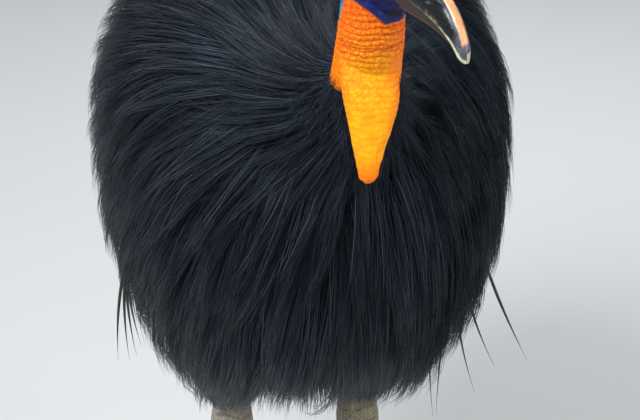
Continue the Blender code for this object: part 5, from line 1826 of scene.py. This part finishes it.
class CASSOWARY_OT_bill(bpy.types.Operator):
    """Make both halves of the bill"""

    bl_idname = "cassowary.bill"
    bl_label = "Bill"

    def execute(self, context):
        horn = settings(context, "horn")
        for name, node, roughness, (points, faces), painted in (
            ("bill_above", "upper_bill", 0.18, upper_bill_shape(), upper_bill_paint),
            ("bill_below", "lower_bill", 0.45, lower_bill_shape(), lower_bill_paint),
        ):
            obj = new_object(name, (points, faces))
            add_paint(obj.data, painted(points, horn))
            finished(obj, horn_finish(name, (1, 0.3, 1), roughness, 260.0, 0.05), [node])
        return {"FINISHED"}


class CASSOWARY_OT_claws(bpy.types.Operator):
    """Make the six claws"""

    bl_idname = "cassowary.claws"
    bl_label = "Claws"

    def execute(self, context):
        horn = settings(context, "horn")
        material = horn_finish("claw_horn", (1, 0.2, 1), 0.30, 300.0)
        for name, side in SIDES:
            for toe in TOES:
                points, faces = claw_shape(toe, side)
                obj = new_object(f"nail_{toe}_{name}", (points, faces))
                along = np.append(np.repeat(np.linspace(0, 1, CLAW_RINGS), CLAW_SIDES), (0.0, 1.0))
                add_paint(obj.data, mix(plain(points, horn.claw), (0.16, 0.13, 0.10), 0.6 * (1 - along)))
                finished(obj, material, [f"claw_{toe}_{name}"])
        return {"FINISHED"}


class CASSOWARY_OT_wings(bpy.types.Operator):
    """Make the bare shafts of both wings"""

    bl_idname = "cassowary.wings"
    bl_label = "Wing shafts"

    def execute(self, context):
        horn = settings(context, "horn")
        material = horn_finish("shaft", (1, 1, 0.1), 0.30, 200.0)
        for name, side in SIDES:
            points, faces = wing_shape(side, SHAFT_TIPS[name])
            obj = new_object(f"shafts_{name}", (points, faces))
            worn = 0.5 + 0.5 * np.clip(ripples(points, 0.03, 51), -1, 1)
            add_paint(obj.data, mix(plain(points, horn.bill_side) * 0.6, (0.030, 0.026, 0.022), worn))
            finished(obj, material, [f"wing_{name}"])
        return {"FINISHED"}


class CASSOWARY_OT_coat(bpy.types.Operator):
    """Make the plumage of body, belly, collar and thighs"""

    bl_idname = "cassowary.coat"
    bl_label = "Plumage"

    def execute(self, context):
        plumage = settings(context, "plumage")
        material = strand_finish(plumage)
        filling = (plumage.strands, BODY_SPREAD, BODY_LAYER)
        strands = strands_of(body_locks(plumage), plumage, SEED + 10, *filling)
        order = np.argsort(round_body(strands[0][:, 0])[:, 0])
        for name, part in zip(COAT_PIECES, np.array_split(order, len(COAT_PIECES))):
            chosen = [rows[part] for rows in strands]
            coat_piece(name, chosen, round_body(chosen[0][:, 0]), material)
        under = strands_of(belly_locks(plumage), plumage, SEED + 11, *BELLY_STRANDS)
        coat_piece("coat_belly", under, under[0][:, 0, :2], material)
        collar = strands_of(collar_locks(plumage), plumage, SEED + 12, *COLLAR_STRANDS)
        root_axis = smooth_path(NECK_ROOT, 60)
        coat_piece("coat_collar", collar, round_axis(collar[0][:, 0], root_axis), material)
        for name, side in SIDES:
            thigh = strands_of(thigh_locks(plumage, side), plumage, SEED + 13, *THIGH_STRANDS)
            axis = smooth_path(on_side(THIGH_AXIS, side), 60)
            coat_piece(f"coat_thigh_{name}", thigh, round_axis(thigh[0][:, 0], axis), material)
        return {"FINISHED"}


def scattered(points, faces, density, count, rng):
    """Places on a surface drawn with a chance that goes with area and the density at each triangle."""
    corners = points[faces]
    area = np.linalg.norm(np.cross(corners[:, 1] - corners[:, 0], corners[:, 2] - corners[:, 0]), axis=1)
    chance = area * density
    which = rng.choice(len(faces), count, p=chance / chance.sum())
    weight = rng.dirichlet((1.0, 1.0, 1.0), count)
    normal = vertex_normals(points, faces)
    place = (corners[which] * weight[:, :, None]).sum(axis=1)
    return place, unit((normal[faces[which]] * weight[:, :, None]).sum(axis=1))


def hair_strands(place, outward, lie, lengths, widths, rng):
    """Hairs that stand off the skin and bend over along the lie."""
    step = np.linspace(0, 1, STRAND_PLACES)[None, :, None]
    lie = unit(lie - outward * (lie * outward).sum(axis=1, keepdims=True) + rng.normal(0, 0.35, lie.shape))
    off = outward[:, None] * 0.55 * step * (1 - 0.45 * step)
    over = lie[:, None] * 0.45 * (step + step**2)
    paths = place[:, None] + (off + over) * lengths[:, None, None]
    paths[:, 0] -= outward * 0.001
    ways = np.repeat(outward[:, None], STRAND_PLACES, axis=1)
    return paths, ways, widths, rng.uniform(0.2, 0.9, len(place))


class CASSOWARY_OT_hairs(bpy.types.Operator):
    """Make the sparse hair-like feathers of neck and head"""

    bl_idname = "cassowary.hairs"
    bl_label = "Neck and head hairs"

    def execute(self, context):
        skin_object = bpy.data.objects.get("skin")
        if skin_object is None:
            raise RuntimeError("the skin is made first")
        rng = np.random.default_rng(SEED + 20)
        points, faces = read_shape(skin_object)
        middle = points[faces].mean(axis=1)
        turn, away = neck_places(middle)
        z = middle[:, 2]
        behind = fade(np.abs(turn), 1.9, 2.7)
        base = (1 - fade(z, 0.990, 1.006)) * fade(np.abs(turn), 0.5, 0.9)
        open_skin = (z > 0.945) & (z < 1.13) & (away < BARE_REACH) & ~on_wattle(middle)
        root = (z > 0.86) & (z < 0.975) & (away < 0.13) & ~on_wattle(middle)
        density = open_skin * (0.02 * fade(np.abs(turn), 0.8, 1.4) + 1.0 * behind + 2.4 * base) + 1.2 * root
        place, outward = scattered(points, faces, density, NECK_HAIRS, rng)
        lie = unit(np.array([0.0, 0.35, -1.0]) + 0.25 * outward)
        spread = 1 - fade(place[:, 2], 0.955, 0.985)[:, None]
        lie = unit(lie * (1 - spread) + (0.6 * outward + np.array([0.0, 0.0, -0.8])) * spread)
        low = 1 - fade(place[:, 2], 0.965, 1.01)
        lengths = rng.uniform(0.007, 0.020, len(place)) * (1 + 1.8 * low)
        widths = rng.uniform(0.00022, 0.00048, len(place)) * (1 + 1.6 * low)
        neck = hair_strands(place, outward, lie, lengths, widths, rng)
        material = strand_finish(settings(context, "plumage"), "hairs")
        coat_piece("hairs_neck", neck, round_axis(place, smooth_path(NECK_AXIS, 60)), material)
        local = head_local(middle)
        bare = (z > 1.10) & (local[:, 0] < 0.03) & (away < 0.12)
        eye = np.minimum(*(np.linalg.norm(local - np.array(EYE_PLACE) * (1, s, 1), axis=1) for _, s in SIDES))
        place, outward = scattered(points, faces, bare * (eye > 0.017), HEAD_HAIRS, rng)
        lie = np.repeat(-head_axes()[:1], len(place), axis=0)
        lengths = rng.uniform(0.004, 0.009, len(place))
        widths = rng.uniform(0.00018, 0.0003, len(place))
        head = hair_strands(place, outward, lie, lengths, widths, rng)
        coat_piece("hairs_head", head, head_local(place)[:, [0, 2]], material)
        return {"FINISHED"}


def aimed(place, target):
    """Rotation that turns the -Z axis of a light or camera at place to the target."""
    return (Vector(target) - Vector(place)).to_track_quat("-Z", "Y").to_euler()


class CASSOWARY_OT_stage(bpy.types.Operator):
    """Make the floor, the lights, the surroundings and the camera"""

    bl_idname = "cassowary.stage"
    bl_label = "Stage"

    def execute(self, context):
        stage = settings(context, "stage")
        corners = np.array([(-1, -1, 0), (1, -1, 0), (1, 1, 0), (-1, 1, 0)]) * FLOOR_REACH
        floor = new_object("floor", (corners, np.array([(0, 1, 2), (0, 2, 3)])))
        floor.data.materials.append(floor_finish(stage))
        for name, (place, size, share, colour) in LIGHTS.items():
            light = bpy.data.lights.new(name, "AREA")
            light.shape, light.size, light.color = "DISK", size, colour
            light.energy = stage.key_power * share
            lamp = bpy.data.objects.new(name, light)
            lamp.location, lamp.rotation_euler = place, aimed(place, LIGHT_TARGET)
            context.scene.collection.objects.link(lamp)
        world = bpy.data.worlds.new("surroundings")
        context.scene.world = world
        world.use_nodes = True
        background = world.node_tree.nodes["Background"]
        background.inputs["Color"].default_value = rgba(stage.world_colour)
        background.inputs["Strength"].default_value = stage.world_strength
        lens = bpy.data.cameras.new("camera")
        lens.sensor_width, lens.lens = 36.0, stage.focal_length
        camera = bpy.data.objects.new("camera", lens)
        camera.location = stage.camera_place
        camera.rotation_euler = aimed(stage.camera_place, stage.camera_target)
        context.scene.collection.objects.link(camera)
        context.scene.camera = camera
        context.scene.view_settings.view_transform = "Standard"
        return {"FINISHED"}


OPERATORS = (
    CASSOWARY_OT_skin, CASSOWARY_OT_eyes, CASSOWARY_OT_casque, CASSOWARY_OT_bill, CASSOWARY_OT_claws,
    CASSOWARY_OT_wings, CASSOWARY_OT_coat, CASSOWARY_OT_hairs, CASSOWARY_OT_stage,
)


class CASSOWARY_PT_panel(bpy.types.Panel):
    """Lists the pieces and their settings."""

    bl_idname = "CASSOWARY_PT_panel"
    bl_label = "Cassowary"
    bl_space_type = "VIEW_3D"
    bl_region_type = "UI"
    bl_category = "Cassowary"

    def draw(self, context):
        for operator in OPERATORS:
            self.layout.operator(operator.bl_idname)
        for name, group in SETTINGS.items():
            box = self.layout.box()
            box.label(text=name.capitalize())
            for field in group.__annotations__:
                box.prop(settings(context, name), field)


CLASSES = (*SETTINGS.values(), *OPERATORS, CASSOWARY_PT_panel)


def register():
    for made in CLASSES:
        bpy.utils.register_class(made)
    for name, group in SETTINGS.items():
        setattr(bpy.types.Scene, f"cassowary_{name}", PointerProperty(type=group))


def unregister():
    for name in SETTINGS:
        delattr(bpy.types.Scene, f"cassowary_{name}")
    for made in reversed(CLASSES):
        bpy.utils.unregister_class(made)


def main():
    register()
    for operator in OPERATORS:
        group, name = operator.bl_idname.split(".")
        getattr(getattr(bpy.ops, group), name)()


if __name__ == "__main__":
    main()
